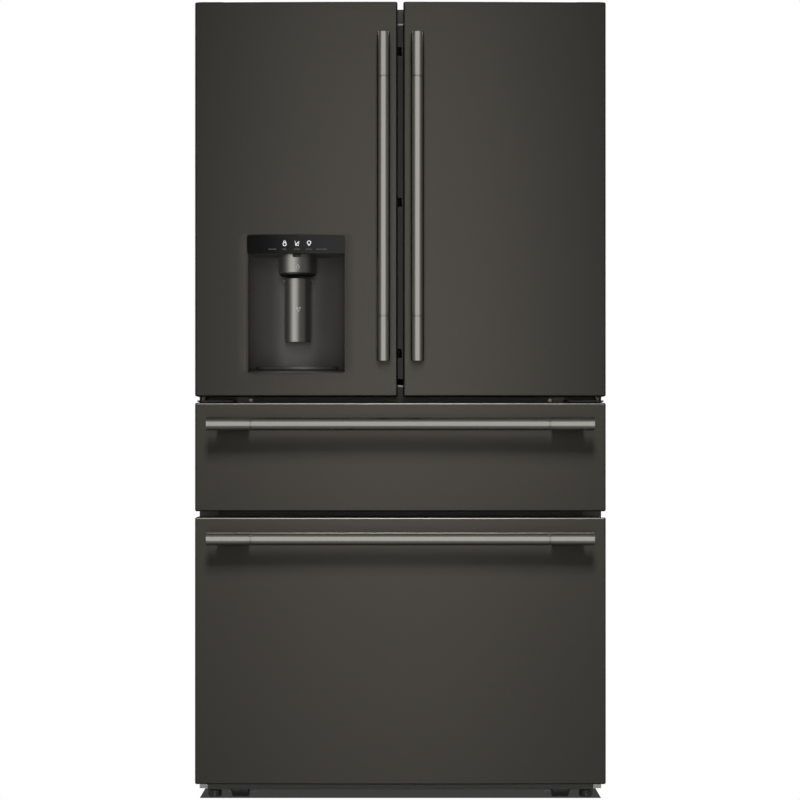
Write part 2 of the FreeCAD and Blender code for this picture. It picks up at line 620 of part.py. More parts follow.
# ---------------------------------------------------------------- flipper mullion
knuckle_places = (1000, 1340, 1680)
post = fuse(box(("mullion_x", "mullion_edge"),
                ("mullion_y - mullion_radius", "mullion_y + mullion_radius"),
                ("mullion_low", "mullion_top")),
            rod("z", ("mullion_x", "mullion_y", "mullion_low"), "mullion_radius",
                "mullion_top - mullion_low"))
notches = [box(("mullion_x - 14", "mullion_x + 15"), ("mullion_y - 14", "mullion_y + 14"),
               (z - 10, z + 10)) for z in knuckle_places]
pins = [rod("z", ("mullion_x", "mullion_y", z - 12), 3, 24) for z in knuckle_places]
node(fuse(cut(post, *notches), *pins), "mullion")
arms = []
for z in knuckle_places:
    arm = fuse(box(("-dyke_near", "mullion_x"), ("mullion_y - 6", "mullion_y + 6"), (z - 9, z + 9)),
               rod("z", ("mullion_x", "mullion_y", z - 9), 11, 18))
    arms.append(cut(arm, rod("z", ("mullion_x", "mullion_y", z - 10), "3 + running", 20)))
node(fuse(*arms), "mullion_hinges")

# ---------------------------------------------------------------- drawers
drawer_x = ("-half_width", "half_width")
for name, low, high, seal, pull, tub_z in (
        ("middle", "middle_low", "middle_top", (652, 884), "middle_pull", (680, 852)),
        ("freezer", "freezer_low", "freezer_top", (60, 630), "freezer_pull", (90, 402))):
    z = (low, high)
    node(front_skin(drawer_x, z), f"{name}_front_skin")
    node(door_back_panel(drawer_x, z), f"{name}_front_liner")
    node(frame(("-gasket_far", "gasket_far"), seal, ("door_back", "gasket_back"), "gasket_width"),
         f"{name}_gasket")
    node(handle("x", ("-pull_half", "handle_y", pull), "2*pull_half"), f"{name}_handle")
    tub_back = 180 if name == "middle" else 158
    node(tub(("-tub_half", "tub_half"), ("door_back", tub_back), tub_z, 3, 16), f"{name}_tub")

wide = ("-opening_half + 9", "opening_half - 9")
node(tub(wide, (-238, 340), ("basket_low", 575), 3, 16), "freezer_basket")

# ---------------------------------------------------------------- recompute, test and export
doc.recompute()
for item in doc.Objects:
    if {"Invalid", "Error"} & set(item.State):
        raise RuntimeError(f"{item.Label} did not recompute: {item.State}")
for item in NODES:
    shape = item.Shape
    if shape.isNull() or not shape.isValid():
        raise RuntimeError(f"{item.Label} has no valid shape")
    shape.exportStep(f"parts/{item.Label}.step")
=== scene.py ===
import math

import bmesh
import bpy
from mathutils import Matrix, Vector


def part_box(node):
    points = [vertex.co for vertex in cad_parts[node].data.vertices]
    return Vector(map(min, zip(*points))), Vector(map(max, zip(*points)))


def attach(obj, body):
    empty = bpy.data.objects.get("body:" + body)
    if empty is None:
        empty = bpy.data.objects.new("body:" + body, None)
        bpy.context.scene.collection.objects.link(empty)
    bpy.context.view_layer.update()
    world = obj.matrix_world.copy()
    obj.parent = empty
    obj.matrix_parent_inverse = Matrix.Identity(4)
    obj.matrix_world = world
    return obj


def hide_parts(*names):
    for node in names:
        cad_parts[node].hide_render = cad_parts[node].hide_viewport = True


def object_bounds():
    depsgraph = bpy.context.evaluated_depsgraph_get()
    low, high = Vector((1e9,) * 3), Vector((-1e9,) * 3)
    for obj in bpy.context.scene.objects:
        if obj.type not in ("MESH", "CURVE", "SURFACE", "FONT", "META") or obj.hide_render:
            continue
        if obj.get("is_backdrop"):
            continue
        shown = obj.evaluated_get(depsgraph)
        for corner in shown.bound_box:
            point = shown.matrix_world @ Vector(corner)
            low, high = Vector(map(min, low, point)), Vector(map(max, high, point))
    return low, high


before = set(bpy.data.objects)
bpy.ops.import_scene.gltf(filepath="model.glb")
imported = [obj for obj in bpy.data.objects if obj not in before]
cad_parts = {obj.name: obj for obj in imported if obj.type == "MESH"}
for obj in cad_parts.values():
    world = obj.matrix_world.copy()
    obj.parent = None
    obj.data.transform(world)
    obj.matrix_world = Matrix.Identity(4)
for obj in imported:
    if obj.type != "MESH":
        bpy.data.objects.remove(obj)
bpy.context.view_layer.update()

MM = 0.001
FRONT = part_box("freezer_front_skin")[0].y       # foremost line of the bowed fronts
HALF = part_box("freezer_front_skin")[1].x
BOW = 6 * MM                                    # how far the fronts fall back at the sides
SKIN_BACK = -322 * MM
DOOR_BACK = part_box("left_door_gasket")[0].y     # inner face of doors and drawer fronts


def mm(*values):
    """Millimetres to the scene's metres."""
    return tuple(value * MM for value in values)


# ---------------------------------------------------------------- materials
def shader(name, base, metallic=0.0, roughness=0.5, **sockets):
    """Principled material; extra sockets are set directly by name."""
    mat = bpy.data.materials.new(name)
    mat.use_nodes = True
    bsdf = mat.node_tree.nodes["Principled BSDF"]
    bsdf.inputs["Base Color"].default_value = (*base, 1)
    bsdf.inputs["Metallic"].default_value = metallic
    bsdf.inputs["Roughness"].default_value = roughness
    for key, value in sockets.items():
        bsdf.inputs[key.replace("_", " ")].default_value = value
    return mat


def texture(mat, kind, scale, stretch=(1, 1, 1), **values):
    """Texture node on object coordinates, stretched along the axes."""
    tree = mat.node_tree
    coords = tree.nodes.new("ShaderNodeTexCoord")
    mapping = tree.nodes.new("ShaderNodeMapping")
    mapping.inputs["Scale"].default_value = stretch
    tree.links.new(coords.outputs["Object"], mapping.inputs["Vector"])
    node = tree.nodes.new(kind)
    node.inputs["Scale"].default_value = scale
    for key, value in values.items():
        node.inputs[key.replace("_", " ")].default_value = value
    tree.links.new(mapping.outputs["Vector"], node.inputs["Vector"])
    return node


def vary(mat, socket, node, low, high):
    """Drive a number socket between two values with a texture."""
    tree = mat.node_tree
    ramp = tree.nodes.new("ShaderNodeMapRange")
    ramp.inputs["From Min"].default_value = 0.3
    ramp.inputs["From Max"].default_value = 0.7
    ramp.inputs["To Min"].default_value = low
    ramp.inputs["To Max"].default_value = high
    tree.links.new(node.outputs[0], ramp.inputs["Value"])
    tree.links.new(ramp.outputs["Result"], tree.nodes["Principled BSDF"].inputs[socket])


def tint(mat, node, dark, light):
    """Blend two base colours with a texture."""
    tree = mat.node_tree
    ramp = tree.nodes.new("ShaderNodeValToRGB")
    ramp.color_ramp.elements[0].position = 0.3
    ramp.color_ramp.elements[1].position = 0.7
    ramp.color_ramp.elements[0].color = (*dark, 1)
    ramp.color_ramp.elements[1].color = (*light, 1)
    tree.links.new(node.outputs[0], ramp.inputs["Fac"])
    tree.links.new(ramp.outputs["Color"], tree.nodes["Principled BSDF"].inputs["Base Color"])


def bump(mat, node, distance, strength=1.0):
    """Raise the surface with a texture."""
    tree = mat.node_tree
    relief = tree.nodes.new("ShaderNodeBump")
    relief.inputs["Strength"].default_value = strength
    relief.inputs["Distance"].default_value = distance
    tree.links.new(node.outputs[0], relief.inputs["Height"])
    tree.links.new(relief.outputs["Normal"], tree.nodes["Principled BSDF"].inputs["Normal"])


def shade(colour, factor):
    return tuple(part * factor for part in colour)


def brushed(name, base, roughness, along, spread=0.05, metallic=1.0, relief=0.25):
    """Metal with fine grain lines along one axis."""
    mat = shader(name, base, metallic, roughness)
    stretch = [900.0, 900.0, 900.0]
    stretch["xyz".index(along)] = 6.0
    grain = texture(mat, "ShaderNodeTexNoise", 1.0, stretch, Detail=4.0)
    cloud = texture(mat, "ShaderNodeTexNoise", 3.0, (1, 1, 1), Detail=3.0)
    tint(mat, cloud, shade(base, 0.985), shade(base, 1.015))
    vary(mat, "Roughness", grain, roughness - spread, roughness + spread)
    if relief:
        bump(mat, grain, 0.00001, relief)
    return mat


def moulded(name, base, roughness, grain=1400.0, relief=0.00003, **sockets):
    """Plastic or paint with a fine moulded texture."""
    mat = shader(name, base, 0.0, roughness, **sockets)
    fine = texture(mat, "ShaderNodeTexNoise", grain, Detail=2.0)
    broad = texture(mat, "ShaderNodeTexNoise", 5.0, Detail=3.0)
    tint(mat, broad, shade(base, 0.94), shade(base, 1.06))
    vary(mat, "Roughness", fine, roughness - 0.04, roughness + 0.04)
    bump(mat, fine, relief, 0.5)
    return mat


STEEL = (0.0415, 0.0385, 0.0325)
NICKEL = (0.45, 0.44, 0.40)
M = {
    "front": brushed("dark_steel_front", STEEL, 0.38, "x", 0.015, 0.85, relief=0.1),
    "nickel_x": brushed("handle_nickel_across", NICKEL, 0.22, "x", 0.012, relief=0.0),
    "nickel_z": brushed("handle_nickel_upright", NICKEL, 0.22, "z", 0.012, relief=0.0),
    "cabinet": moulded("cabinet_paint", (0.075, 0.074, 0.072), 0.5, 700.0, 0.0002),
    "rear": brushed("rear_galvanised", (0.34, 0.35, 0.36), 0.5, "z", 0.08, 0.9),
    "white": moulded("liner_plastic", (0.80, 0.81, 0.81), 0.34),
    "duct": moulded("duct_plastic", (0.70, 0.71, 0.72), 0.42),
    "black": moulded("black_plastic", (0.012, 0.012, 0.012), 0.45),
    "gasket": moulded("gasket_rubber", (0.05, 0.05, 0.05), 0.62, 900.0, 0.00006),
    "zinc": brushed("zinc_steel", (0.50, 0.50, 0.50), 0.38, "y", 0.06),
    "hinge": moulded("hinge_paint", (0.06, 0.06, 0.06), 0.4, 900.0),
    "foam": moulded("cabinet_foam", (0.72, 0.66, 0.45), 0.9, 300.0, 0.0006),
    "enamel": moulded("compressor_enamel", (0.008, 0.008, 0.009), 0.22),
    "fin": brushed("condenser_fin", (0.50, 0.51, 0.52), 0.42, "z"),
    "recess": moulded("dispenser_recess", (0.102, 0.097, 0.088), 0.42),
    # painted shade: dark paint made near black so the cross rails and centre hinge plates read as
    # the shade deep in the door and drawer gaps
    "rail": moulded("gap_rail_painted_shade", (0.007, 0.007, 0.006), 0.5),
    "dull": brushed("dull_bracket", (0.085, 0.082, 0.075), 0.5, "x", 0.05),
    "bracket": brushed("bracket_steel", (0.30, 0.30, 0.295), 0.45, "x", 0.05),
    "gloss": moulded("panel_gloss", (0.0045, 0.005, 0.0045), 0.12, 300.0, 0.000002,
                     Specular_IOR_Level=0.07),
    "chute": brushed("chute_satin", (0.30, 0.295, 0.27), 0.45, "z", 0.02, 0.95, relief=0.05),
    "mullion": moulded("mullion_paint", (0.019, 0.0185, 0.0165), 0.5),
    "trim": brushed("bezel_trim", (0.10, 0.096, 0.09), 0.4, "z", 0.03),
    # painted light: the white control print glows faintly by itself (emission), so it stays bright
    # without a lamp
    "mark": moulded("control_marks_painted_glow", (0.9, 0.9, 0.9), 0.5, Emission_Color=(1, 1, 1, 1),
                    Emission_Strength=0.35),
    "mark_soft": moulded("spout_marks", (0.85, 0.84, 0.80), 0.4),
    "tray": moulded("drip_tray_satin", (0.042, 0.040, 0.036), 0.36),
    "kick": moulded("toe_kick_plastic", (0.026, 0.026, 0.024), 0.5),
    "faint": moulded("faint_marks", (0.13, 0.13, 0.125), 0.6),
    "clear": moulded("clear_bin_plastic", (0.86, 0.91, 0.94), 0.08, 300.0, 0.00001,
                     Transmission_Weight=0.88, IOR=1.3, Alpha=0.75),
    "glass": moulded("shelf_glass", (0.80, 0.92, 0.90), 0.03, 300.0, 0.000002,
                     Transmission_Weight=0.92, IOR=1.35, Alpha=0.7),
}


# ---------------------------------------------------------------- mesh helpers
def ring(a_low, a_high, b_low, b_high, radius, steps=6):
    """Rounded rectangle as a loop of points, always the same count."""
    radius = max(radius, 1e-5)
    loop = []
    a_near, a_far = a_low + radius, a_high - radius
    b_near, b_far = b_low + radius, b_high - radius
    for a, b, start in ((a_far, b_far, 0), (a_near, b_far, 90), (a_near, b_near, 180),
                        (a_far, b_near, 270)):
        for i in range(steps + 1):
            angle = math.radians(start + 90 * i / steps)
            loop.append((a + radius * math.cos(angle), b + radius * math.sin(angle)))
    return loop


PLACE = {
    "xz": lambda a, b, depth: (a, depth, b),
    "xy": lambda a, b, depth: (a, b, depth),
    "yz": lambda a, b, depth: (depth, a, b),
}


def bridge(bm, loops, slot=0, closed=True):
    """Quads between neighbouring loops, or rows, of equal count."""
    for one, two in zip(loops, loops[1:]):
        for i in range(len(one) if closed else len(one) - 1):
            j = (i + 1) % len(one)
            bm.faces.new((one[i], one[j], two[j], two[i])).material_index = slot


def loft(bm, plane, sections, close=(True, True), slot=0):
    """Skin through loops of equal count. sections is a list of (loop, depth)."""
    loops = [[bm.verts.new(PLACE[plane](a, b, depth)) for a, b in loop]
             for loop, depth in sections]
    bridge(bm, loops, slot)
    for wanted, loop in zip(close, (loops[0], loops[-1])):
        if wanted:
            bm.faces.new(loop).material_index = slot


def inset_ring(rect, inset, radius):
    """Rounded rectangle drawn in from its sides."""
    a0, a1, b0, b1 = rect
    return ring(a0 + inset, a1 - inset, b0 + inset, b1 - inset, radius - inset)


def slab(bm, plane, rect, depth, radius, edge, slot=0, steps=3):
    """Rounded rectangle plate with softened front and back edges."""
    sections = []
    for sign, base in ((1, depth[0]), (-1, depth[1])):
        quarter = []
        for i in range(steps + 1):
            turn = math.radians(90 * i / steps)
            quarter.append((inset_ring(rect, edge * (1 - math.sin(turn)), radius),
                            base + sign * edge * (1 - math.cos(turn))))
        sections += quarter[::sign]
    loft(bm, plane, sections, slot=slot)


def hoop(bm, plane, rect, radius, profile, slot=0):
    """Moulding that runs round a rounded rectangle. profile is (inset, depth) points."""
    sections = [(inset_ring(rect, inset, radius), depth) for inset, depth in profile]
    loft(bm, plane, sections + sections[:1], close=(False, False), slot=slot)


def tray(bm, rect, low, high, wall, radius, taper, lip, slot=0):
    """Moulded open bin with a sloping wall, rounded floor and rolled rim."""
    outline = [(taper + 4 * MM, low), (taper + 1.2 * MM, low + 1.2 * MM), (taper, low + 4 * MM),
               (lip, high - 12 * MM), (0, high - 11 * MM), (0, high - 1.5 * MM),
               (0.6 * MM, high - 0.4 * MM), (1.5 * MM, high), (lip + wall - 1 * MM, high),
               (lip + wall, high - 1.2 * MM), (taper + wall, low + wall + 4 * MM),
               (taper + wall + 4 * MM, low + wall)]
    loft(bm, "xy", [(inset_ring(rect, inset, radius), depth) for inset, depth in outline],
         slot=slot)


def lathe(bm, axis, origin, profile, steps=48, slot=0):
    """Turn (radius, distance along) points about an axis."""
    along = "xyz".index(axis)
    side, up = [i for i in range(3) if i != along]
    loops = []
    for radius, distance in profile:
        loop = []
        for i in range(steps):
            angle = math.tau * i / steps
            place = [0.0, 0.0, 0.0]
            place[along] = origin[along] + distance
            place[side] = origin[side] + max(radius, 1e-5) * math.cos(angle)
            place[up] = origin[up] + max(radius, 1e-5) * math.sin(angle)
            loop.append(bm.verts.new(place))
        loops.append(loop)
    bridge(bm, loops, slot)
    for loop in (loops[0], loops[-1]):
        bm.faces.new(loop).material_index = slot


def soft_box(bm, low, high, radius, steps):
    """Block with rounded edges."""
    made = bmesh.ops.create_cube(bm, size=1.0)["verts"]
    low, high = Vector(low), Vector(high)
    for vert in made:
        vert.co = Vector(low[i] + (vert.co[i] + 0.5) * (high[i] - low[i]) for i in range(3))
    edges = list({edge for vert in made for edge in vert.link_edges})
    bmesh.ops.bevel(bm, geom=edges, offset=radius, segments=steps, profile=0.5,
                    affect="EDGES", clamp_overlap=True)


def piece(name, bm, materials, body, replaces=(), sharp=35, weighted=True):
    """Turn a bmesh into a finished, riding piece."""
    bmesh.ops.remove_doubles(bm, verts=bm.verts, dist=2e-6)
    bmesh.ops.dissolve_degenerate(bm, edges=bm.edges, dist=1e-6)
    bmesh.ops.recalc_face_normals(bm, faces=bm.faces)
    mesh = bpy.data.meshes.new(name)
    bm.to_mesh(mesh)
    bm.free()
    mesh.shade_smooth()
    mesh.set_sharp_from_angle(angle=math.radians(sharp))
    obj = bpy.data.objects.new(name, mesh)
    bpy.context.scene.collection.objects.link(obj)
    for mat in materials:
        mesh.materials.append(mat)
    if weighted:
        modifier = obj.modifiers.new("weighted", "WEIGHTED_NORMAL")
        modifier.keep_sharp = True
    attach(obj, body)
    if replaces:
        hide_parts(*replaces)
    return obj


def paint(node, mat):
    """Give a carried-over CAD node its material."""
    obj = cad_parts[node]
    obj.data.materials.clear()
    obj.data.materials.append(mat)


def spread(low, high, extra=()):
    """Even positions between two ends with extra ones added."""
    count = max(2, round((high - low) / 0.03))
    marks = {round(low + (high - low) * i / count, 6) for i in range(count + 1)}
    marks = {m for m in marks if all(abs(m - e) > 0.004 for e in extra)}
    return sorted(marks | {round(e, 6) for e in extra})


def bow(x):
    """Depth of the steel fronts at a place across the width."""
    return FRONT + BOW * (x / HALF) ** 2


# ---------------------------------------------------------------- curved steel fronts
EDGE = 4 * MM


def front_panel(name, node, body, hole=None):
    """Folded sheet with a slow bow, rounded rim and an optional opening."""
    low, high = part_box(node)
    bm = bmesh.new()
    x0, x1 = low.x + EDGE, high.x - EDGE
    z0, z1 = low.z + EDGE, high.z - EDGE
    xs = spread(x0, x1, (hole[0], hole[1]) if hole else ())
    zs = spread(z0, z1, (hole[2], hole[3]) if hole else ())
    xs, zs = sorted(set(xs) | {x0, x1}), sorted(set(zs) | {z0, z1})
    grid = {(i, j): bm.verts.new((x, bow(x), z))
            for i, x in enumerate(xs) for j, z in enumerate(zs)}
    for i in range(len(xs) - 1):
        for j in range(len(zs) - 1):
            middle = ((xs[i] + xs[i + 1]) / 2, (zs[j] + zs[j + 1]) / 2)
            inside = hole and hole[0] < middle[0] < hole[1] and hole[2] < middle[1] < hole[3]
            if not inside:
                bm.faces.new((grid[i, j], grid[i + 1, j], grid[i + 1, j + 1], grid[i, j + 1]))
    rim = [(x, z0, 270) for x in xs] + [(x1, z, 0) for z in zs]
    rim += [(x, z1, 90) for x in reversed(xs)] + [(x0, z, 180) for z in reversed(zs)]
    path = []
    for k, (x, z, angle) in enumerate(rim):
        path.append((x, z, angle))
        following = rim[(k + 1) % len(rim)]
        if following[2] != angle:
            for step in range(1, 5):
                path.append((x, z, angle + 18 * step))
    loops = []
    for step in range(7):
        turn = math.radians(15 * step)
        loops.append([(x + EDGE * math.sin(turn) * math.cos(math.radians(angle)),
                       bow(x) + EDGE * (1 - math.cos(turn)),
                       z + EDGE * math.sin(turn) * math.sin(math.radians(angle)))
                      for x, z, angle in path])
    loops.append([(x, DOOR_BACK - 0.5 * MM, z) for x, _, z in loops[-1]])
    bridge(bm, [[bm.verts.new(p) for p in loop] for loop in loops])
    obj = piece(name, bm, [M["front"]], body, (node,), weighted=False)
    thick = obj.modifiers.new("sheet", "SOLIDIFY")
    thick.thickness = 1.5 * MM
    thick.offset = -1
    normal = obj.modifiers.new("weighted", "WEIGHTED_NORMAL")
    normal.keep_sharp = True
    return obj


outlet_low, outlet_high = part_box("dispenser_housing")
RIM = 3 * MM
front_panel("left_door_front", "left_door_skin", "left_door",
            (outlet_low.x + RIM, outlet_high.x - RIM, outlet_low.z + RIM, outlet_high.z - RIM))
front_panel("right_door_front", "right_door_skin", "right_door")
middle_front = front_panel("middle_drawer_front", "middle_front_skin", "middle_drawer")
freezer_front = front_panel("freezer_drawer_front", "freezer_front_skin", "freezer_drawer")


# ---------------------------------------------------------------- handles
def bar_handle(name, node, body, axis):
    """Three-section round bar with grooves and two soft-edged posts."""
    low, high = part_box(node)
    along = "xyz".index(axis)
    radius = 14.25 * MM
    length = high[along] - low[along]
    sleeve, groove, chamfer = 96.5 * MM, 2.2 * MM, 1.3 * MM
    post_start, post_length, post_half = 20 * MM, 70 * MM, 8 * MM
    origin = Vector(((low.x + high.x) / 2, low.y + radius, (low.z + high.z) / 2))
    origin[along] = low[along]
    neck = radius - 2.6 * MM
    half = [(0, 0), (radius - chamfer, 0), (radius - chamfer * 0.3, chamfer * 0.35),
            (radius, chamfer), (radius, sleeve - 0.5 * MM), (radius - 0.5 * MM, sleeve),
            (neck, sleeve + 0.1 * MM), (neck, sleeve + groove),
            (radius - 0.5 * MM, sleeve + groove + 0.1 * MM), (radius, sleeve + groove + 0.6 * MM)]
    profile = half + [(r, length - t) for r, t in reversed(half)]
    bm = bmesh.new()
    lathe(bm, axis, origin, profile, 72)
    for start in (post_start, length - post_start - post_length):
        near, far = Vector(origin), Vector(origin)
        for i in range(3):
            near[i] -= post_half
            far[i] += post_half
        near[along] = origin[along] + start
        far[along] = origin[along] + start + post_length
        near.y = origin.y
        far.y = max(bow(near.x), bow(far.x)) + 0.5 * MM
        soft_box(bm, near, far, 2.5 * MM, 4)
        foot_low, foot_high = near.copy(), far.copy()
        foot_low.y = bow(origin.x if axis == "z" else near.x) - 2.0 * MM
        for i in (0, 2):
            foot_low[i] -= 1.5 * MM
            foot_high[i] += 1.5 * MM
        soft_box(bm, foot_low, foot_high, 1.0 * MM, 2)
    mat = M["nickel_z"] if axis == "z" else M["nickel_x"]
    return piece(name, bm, [mat], body, (node,))


HANDLES = [bar_handle("left_bar_handle", "left_door_handle", "left_door", "z"),
           bar_handle("right_bar_handle", "right_door_handle", "right_door", "z"),
           bar_handle("middle_bar_handle", "middle_handle", "middle_drawer", "x"),
           bar_handle("freezer_bar_handle", "freezer_handle", "freezer_drawer", "x")]

# ---------------------------------------------------------------- dispenser
LEFT = "left_door"
SPOUT_X, SPOUT_Y = -229.5, -334.0                               # millimetres from here on
DRUM, DRUM_LOW, DRUM_HIGH = 42.0, 1171.5, 1217.0                # radius, bottom, top
PADDLE_R, PADDLE_Y, PADDLE_LOW, PADDLE_HIGH = 29.5, -324.0, 1022.5, 1165.0


def recess_line(half, front, back, steps=32):
    """Plan of the recess: sides that sweep into the back in one rounded curve."""
    points = []
    for i in range(steps + 1):
        turn = math.radians(-90 + 180 * i / steps)
        across = math.copysign(abs(math.sin(turn)) ** 0.72, turn)
        points.append((half * across, front + (back - front) * abs(math.cos(turn)) ** 0.62))
    return points


def dispenser_shell():
    """Rim, curved recess, ceiling and sill as one moulding."""
    low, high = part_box("dispenser_housing")
    x = SPOUT_X * MM
    half = (high.x - low.x) / 2
    face, rear = low.y, high.y
    bm = bmesh.new()
    rect = (low.x, high.x, low.z, high.z)
    radius = 8 * MM
    lip = 1.2 * MM
    hoop(bm, "xz", rect, radius,
         [(0, rear), (0, face + 0.9 * MM), (0.3 * MM, face + 0.2 * MM), (0.6 * MM, face),
          (lip, face + 0.5 * MM), (lip, face + 4 * MM), (lip + 1 * MM, face + 4 * MM),
          (lip + 1 * MM, rear)], 1)
    inner = half - lip - 0.6 * MM
    floor_z, top_z = low.z + lip, (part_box("control_panel")[0].z)
    plan = recess_line(inner, face + 3.5 * MM, -281 * MM)
    levels = [floor_z, floor_z + 30 * MM, floor_z + 90 * MM, floor_z + 170 * MM, top_z]
    rows = [[bm.verts.new((x + px, py, z)) for px, py in plan] for z in levels]
    bridge(bm, rows, closed=False)
    bm.faces.new(rows[0])
    bm.faces.new(rows[-1][::-1])
    slab(bm, "xz", (low.x + 3 * MM, high.x - 3 * MM, low.z + 3 * MM, high.z - 3 * MM),
         (rear - 3 * MM, rear), 6 * MM, 0.8 * MM)
    sill = [(floor_z, face + 1.5 * MM), (floor_z + 4 * MM, face + 2.5 * MM),
            (floor_z + 7.5 * MM, face + 7 * MM), (floor_z + 8 * MM, face + 14 * MM)]
    turns = [math.radians(9 * step - 90) for step in range(21)]
    curve = []
    for z, y in sill:
        sweep = 34 * MM * (z - floor_z) / (8 * MM)
        curve.append([bm.verts.new((x + inner * math.sin(a), y + sweep * (1 - math.cos(a)), z))
                      for a in turns])
    bridge(bm, curve, closed=False)
    return piece("dispenser_recess", bm, [M["recess"], M["trim"]], LEFT,
                 ("dispenser_housing",), sharp=40)


dispenser_shell()

strip_low, strip_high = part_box("control_panel")
bm = bmesh.new()
slab(bm, "xz", (strip_low.x - 2.4 * MM, strip_high.x + 2.4 * MM, strip_low.z - 1 * MM,
                strip_high.z + 1.6 * MM),
     (strip_low.y - 0.1 * MM, strip_high.y), 5 * MM, 0.5 * MM)
piece("control_strip", bm, [M["gloss"]], LEFT, ("control_panel",))


def stroke(bm, points, width, y, thick=0.25):
    """Flat raised line through points, in millimetres."""
    for (ax, az), (bx, bz) in zip(points, points[1:]):
        length = math.hypot(bx - ax, bz - az)
        nx, nz = -(bz - az) / length * width / 2, (bx - ax) / length * width / 2
        ex, ez = (bx - ax) / length * width / 4, (bz - az) / length * width / 4
        corners = [(ax - ex + nx, az - ez + nz), (ax - ex - nx, az - ez - nz),
                   (bx + ex - nx, bz + ez - nz), (bx + ex + nx, bz + ez + nz)]
        loft(bm, "xz", [([mm(*c) for c in corners], y * MM),
                        ([mm(*c) for c in corners], (y - thick) * MM)])


def arc(x, z, radius, start, stop, steps=12, tall=1.0):
    """Points on an arc between two angles in degrees."""
    return [(x + radius * math.cos(math.radians(start + (stop - start) * i / steps)),
             z + tall * radius * math.sin(math.radians(start + (stop - start) * i / steps)))
            for i in range(steps + 1)]


def disc(bm, x, z, radius, y, thick=0.25):
    """Small raised dot."""
    loop = [mm(*p) for p in arc(x, z, radius, 0, 345, 23)]
    loft(bm, "xz", [(loop, y * MM), (loop, (y - thick) * MM)])


# control marks, printed in the faintly glowing material (painted light): generic lock, glass and
# bulb, with a row of plain bars below
PANEL_Y = strip_low.y / MM - 0.1
ICON_Z, CAPTION_Z = 1238.5, 1225.5
bm = bmesh.new()
lock_x, cup_x, bulb_x = -255.3, -228, -201.5
stroke(bm, arc(lock_x, ICON_Z - 2.0, 3.6, 0, 360, 16), 1.3, PANEL_Y)
stroke(bm, arc(lock_x, ICON_Z + 2.0, 2.6, 0, 180, 10, 1.25), 1.1, PANEL_Y)
stroke(bm, [(cup_x - 4.2, ICON_Z + 5), (cup_x - 3, ICON_Z - 5), (cup_x + 3, ICON_Z - 5),
            (cup_x + 4.2, ICON_Z + 5)], 1.1, PANEL_Y)
disc(bm, cup_x - 1.2, ICON_Z - 1.8, 1.7, PANEL_Y)
disc(bm, cup_x + 1.5, ICON_Z + 1.2, 1.7, PANEL_Y)
stroke(bm, arc(bulb_x, ICON_Z + 1.4, 3.9, -50, 230, 16), 1.3, PANEL_Y)
disc(bm, bulb_x, ICON_Z - 3.4, 2.3, PANEL_Y)
piece("panel_icons", bm, [M["mark"]], LEFT, weighted=False)
bm = bmesh.new()
for centre, half in ((-281.8, 8.5), (lock_x, 4.5), (cup_x, 6.5), (bulb_x, 6.5), (-173.5, 12)):
    dashes = max(2, round(half / 2.2))
    pitch = 2 * half / dashes
    for k in range(dashes):
        start = centre - half + pitch * k
        stroke(bm, [(start, CAPTION_Z), (start + pitch * 0.72, CAPTION_Z)], 2.2, PANEL_Y)
piece("panel_caption_bars", bm, [M["faint"]], LEFT, weighted=False)


def drum_wall(bm, centre_y, inner, outer, low, high, slot=0, start=0, stop=360, steps=96):
    """Upright curved wall with thickness and softened rims."""
    rows = [(inner, low), (outer - 1, low), (outer, low + 1), (outer, high - 0.6),
            (outer - 0.6, high), (inner, high)]
    loops = []
    closed = stop - start >= 360
    for i in range(steps + (0 if closed else 1)):
        turn = math.radians(start + (stop - start) * i / steps)
        across, toward = math.sin(turn), math.cos(turn)
        loops.append([bm.verts.new(mm(SPOUT_X + r * across, centre_y - r * toward, z))
                      for r, z in rows])
    bridge(bm, loops + loops[:1] if closed else loops, slot)
    if not closed:
        for loop in (loops[0], loops[-1]):
            bm.faces.new(loop).material_index = slot


# spout collar: round drum with a dark lower lip
bm = bmesh.new()
drum_wall(bm, SPOUT_Y, DRUM - 5, DRUM, DRUM_LOW + 3.5, DRUM_HIGH)
drum_wall(bm, SPOUT_Y, DRUM - 6, DRUM - 2.4, DRUM_LOW, DRUM_LOW + 5, slot=1)
lathe(bm, "z", mm(SPOUT_X, SPOUT_Y, DRUM_LOW + 2),
      [mm(0, 0), mm(DRUM - 4, 0), mm(DRUM - 4, 3), mm(0, 3)], 64, 1)
collar = piece("spout_collar", bm, [M["chute"], M["black"]], LEFT,
               ("dispenser_chute",))

# sensor window in the drum's upper rim
bm = bmesh.new()
sensor = ring(*mm(SPOUT_X - 9, SPOUT_X + 9, DRUM_HIGH - 8, DRUM_HIGH + 0.5), 2.4 * MM)
loft(bm, "xz", [(sensor, (SPOUT_Y - DRUM + 6) * MM), (sensor, (SPOUT_Y - DRUM - 0.4) * MM)])
piece("spout_sensor", bm, [M["gloss"]], LEFT, weighted=False)


def wrapped(bm, centre_y, radius, lift=0.02):
    """Bend flat marks round the drum or paddle surface."""
    for vert in bm.verts:
        across = vert.co.x - SPOUT_X * MM
        turn = across / (radius * MM)
        depth = radius + lift + (0.2 if vert.co.y < -0.0001 else 0)
        vert.co.x = SPOUT_X * MM + depth * MM * math.sin(turn)
        vert.co.y = centre_y * MM - depth * MM * math.cos(turn)


# outline of a water drop on the drum
bm = bmesh.new()
DROP_X, DROP_Z = SPOUT_X + 2.5, 1188.0
drop = [(DROP_X, DROP_Z + 6), (DROP_X - 2.3, DROP_Z + 1), (DROP_X - 3, DROP_Z - 1.5)]
drop += arc(DROP_X, DROP_Z - 1.5, 3, 180, 360, 10)[1:]
stroke(bm, drop + [(DROP_X + 2.3, DROP_Z + 1), (DROP_X, DROP_Z + 6)], 0.9, 0)
wrapped(bm, SPOUT_Y, DRUM)
piece("water_mark", bm, [M["mark_soft"]], LEFT, weighted=False)

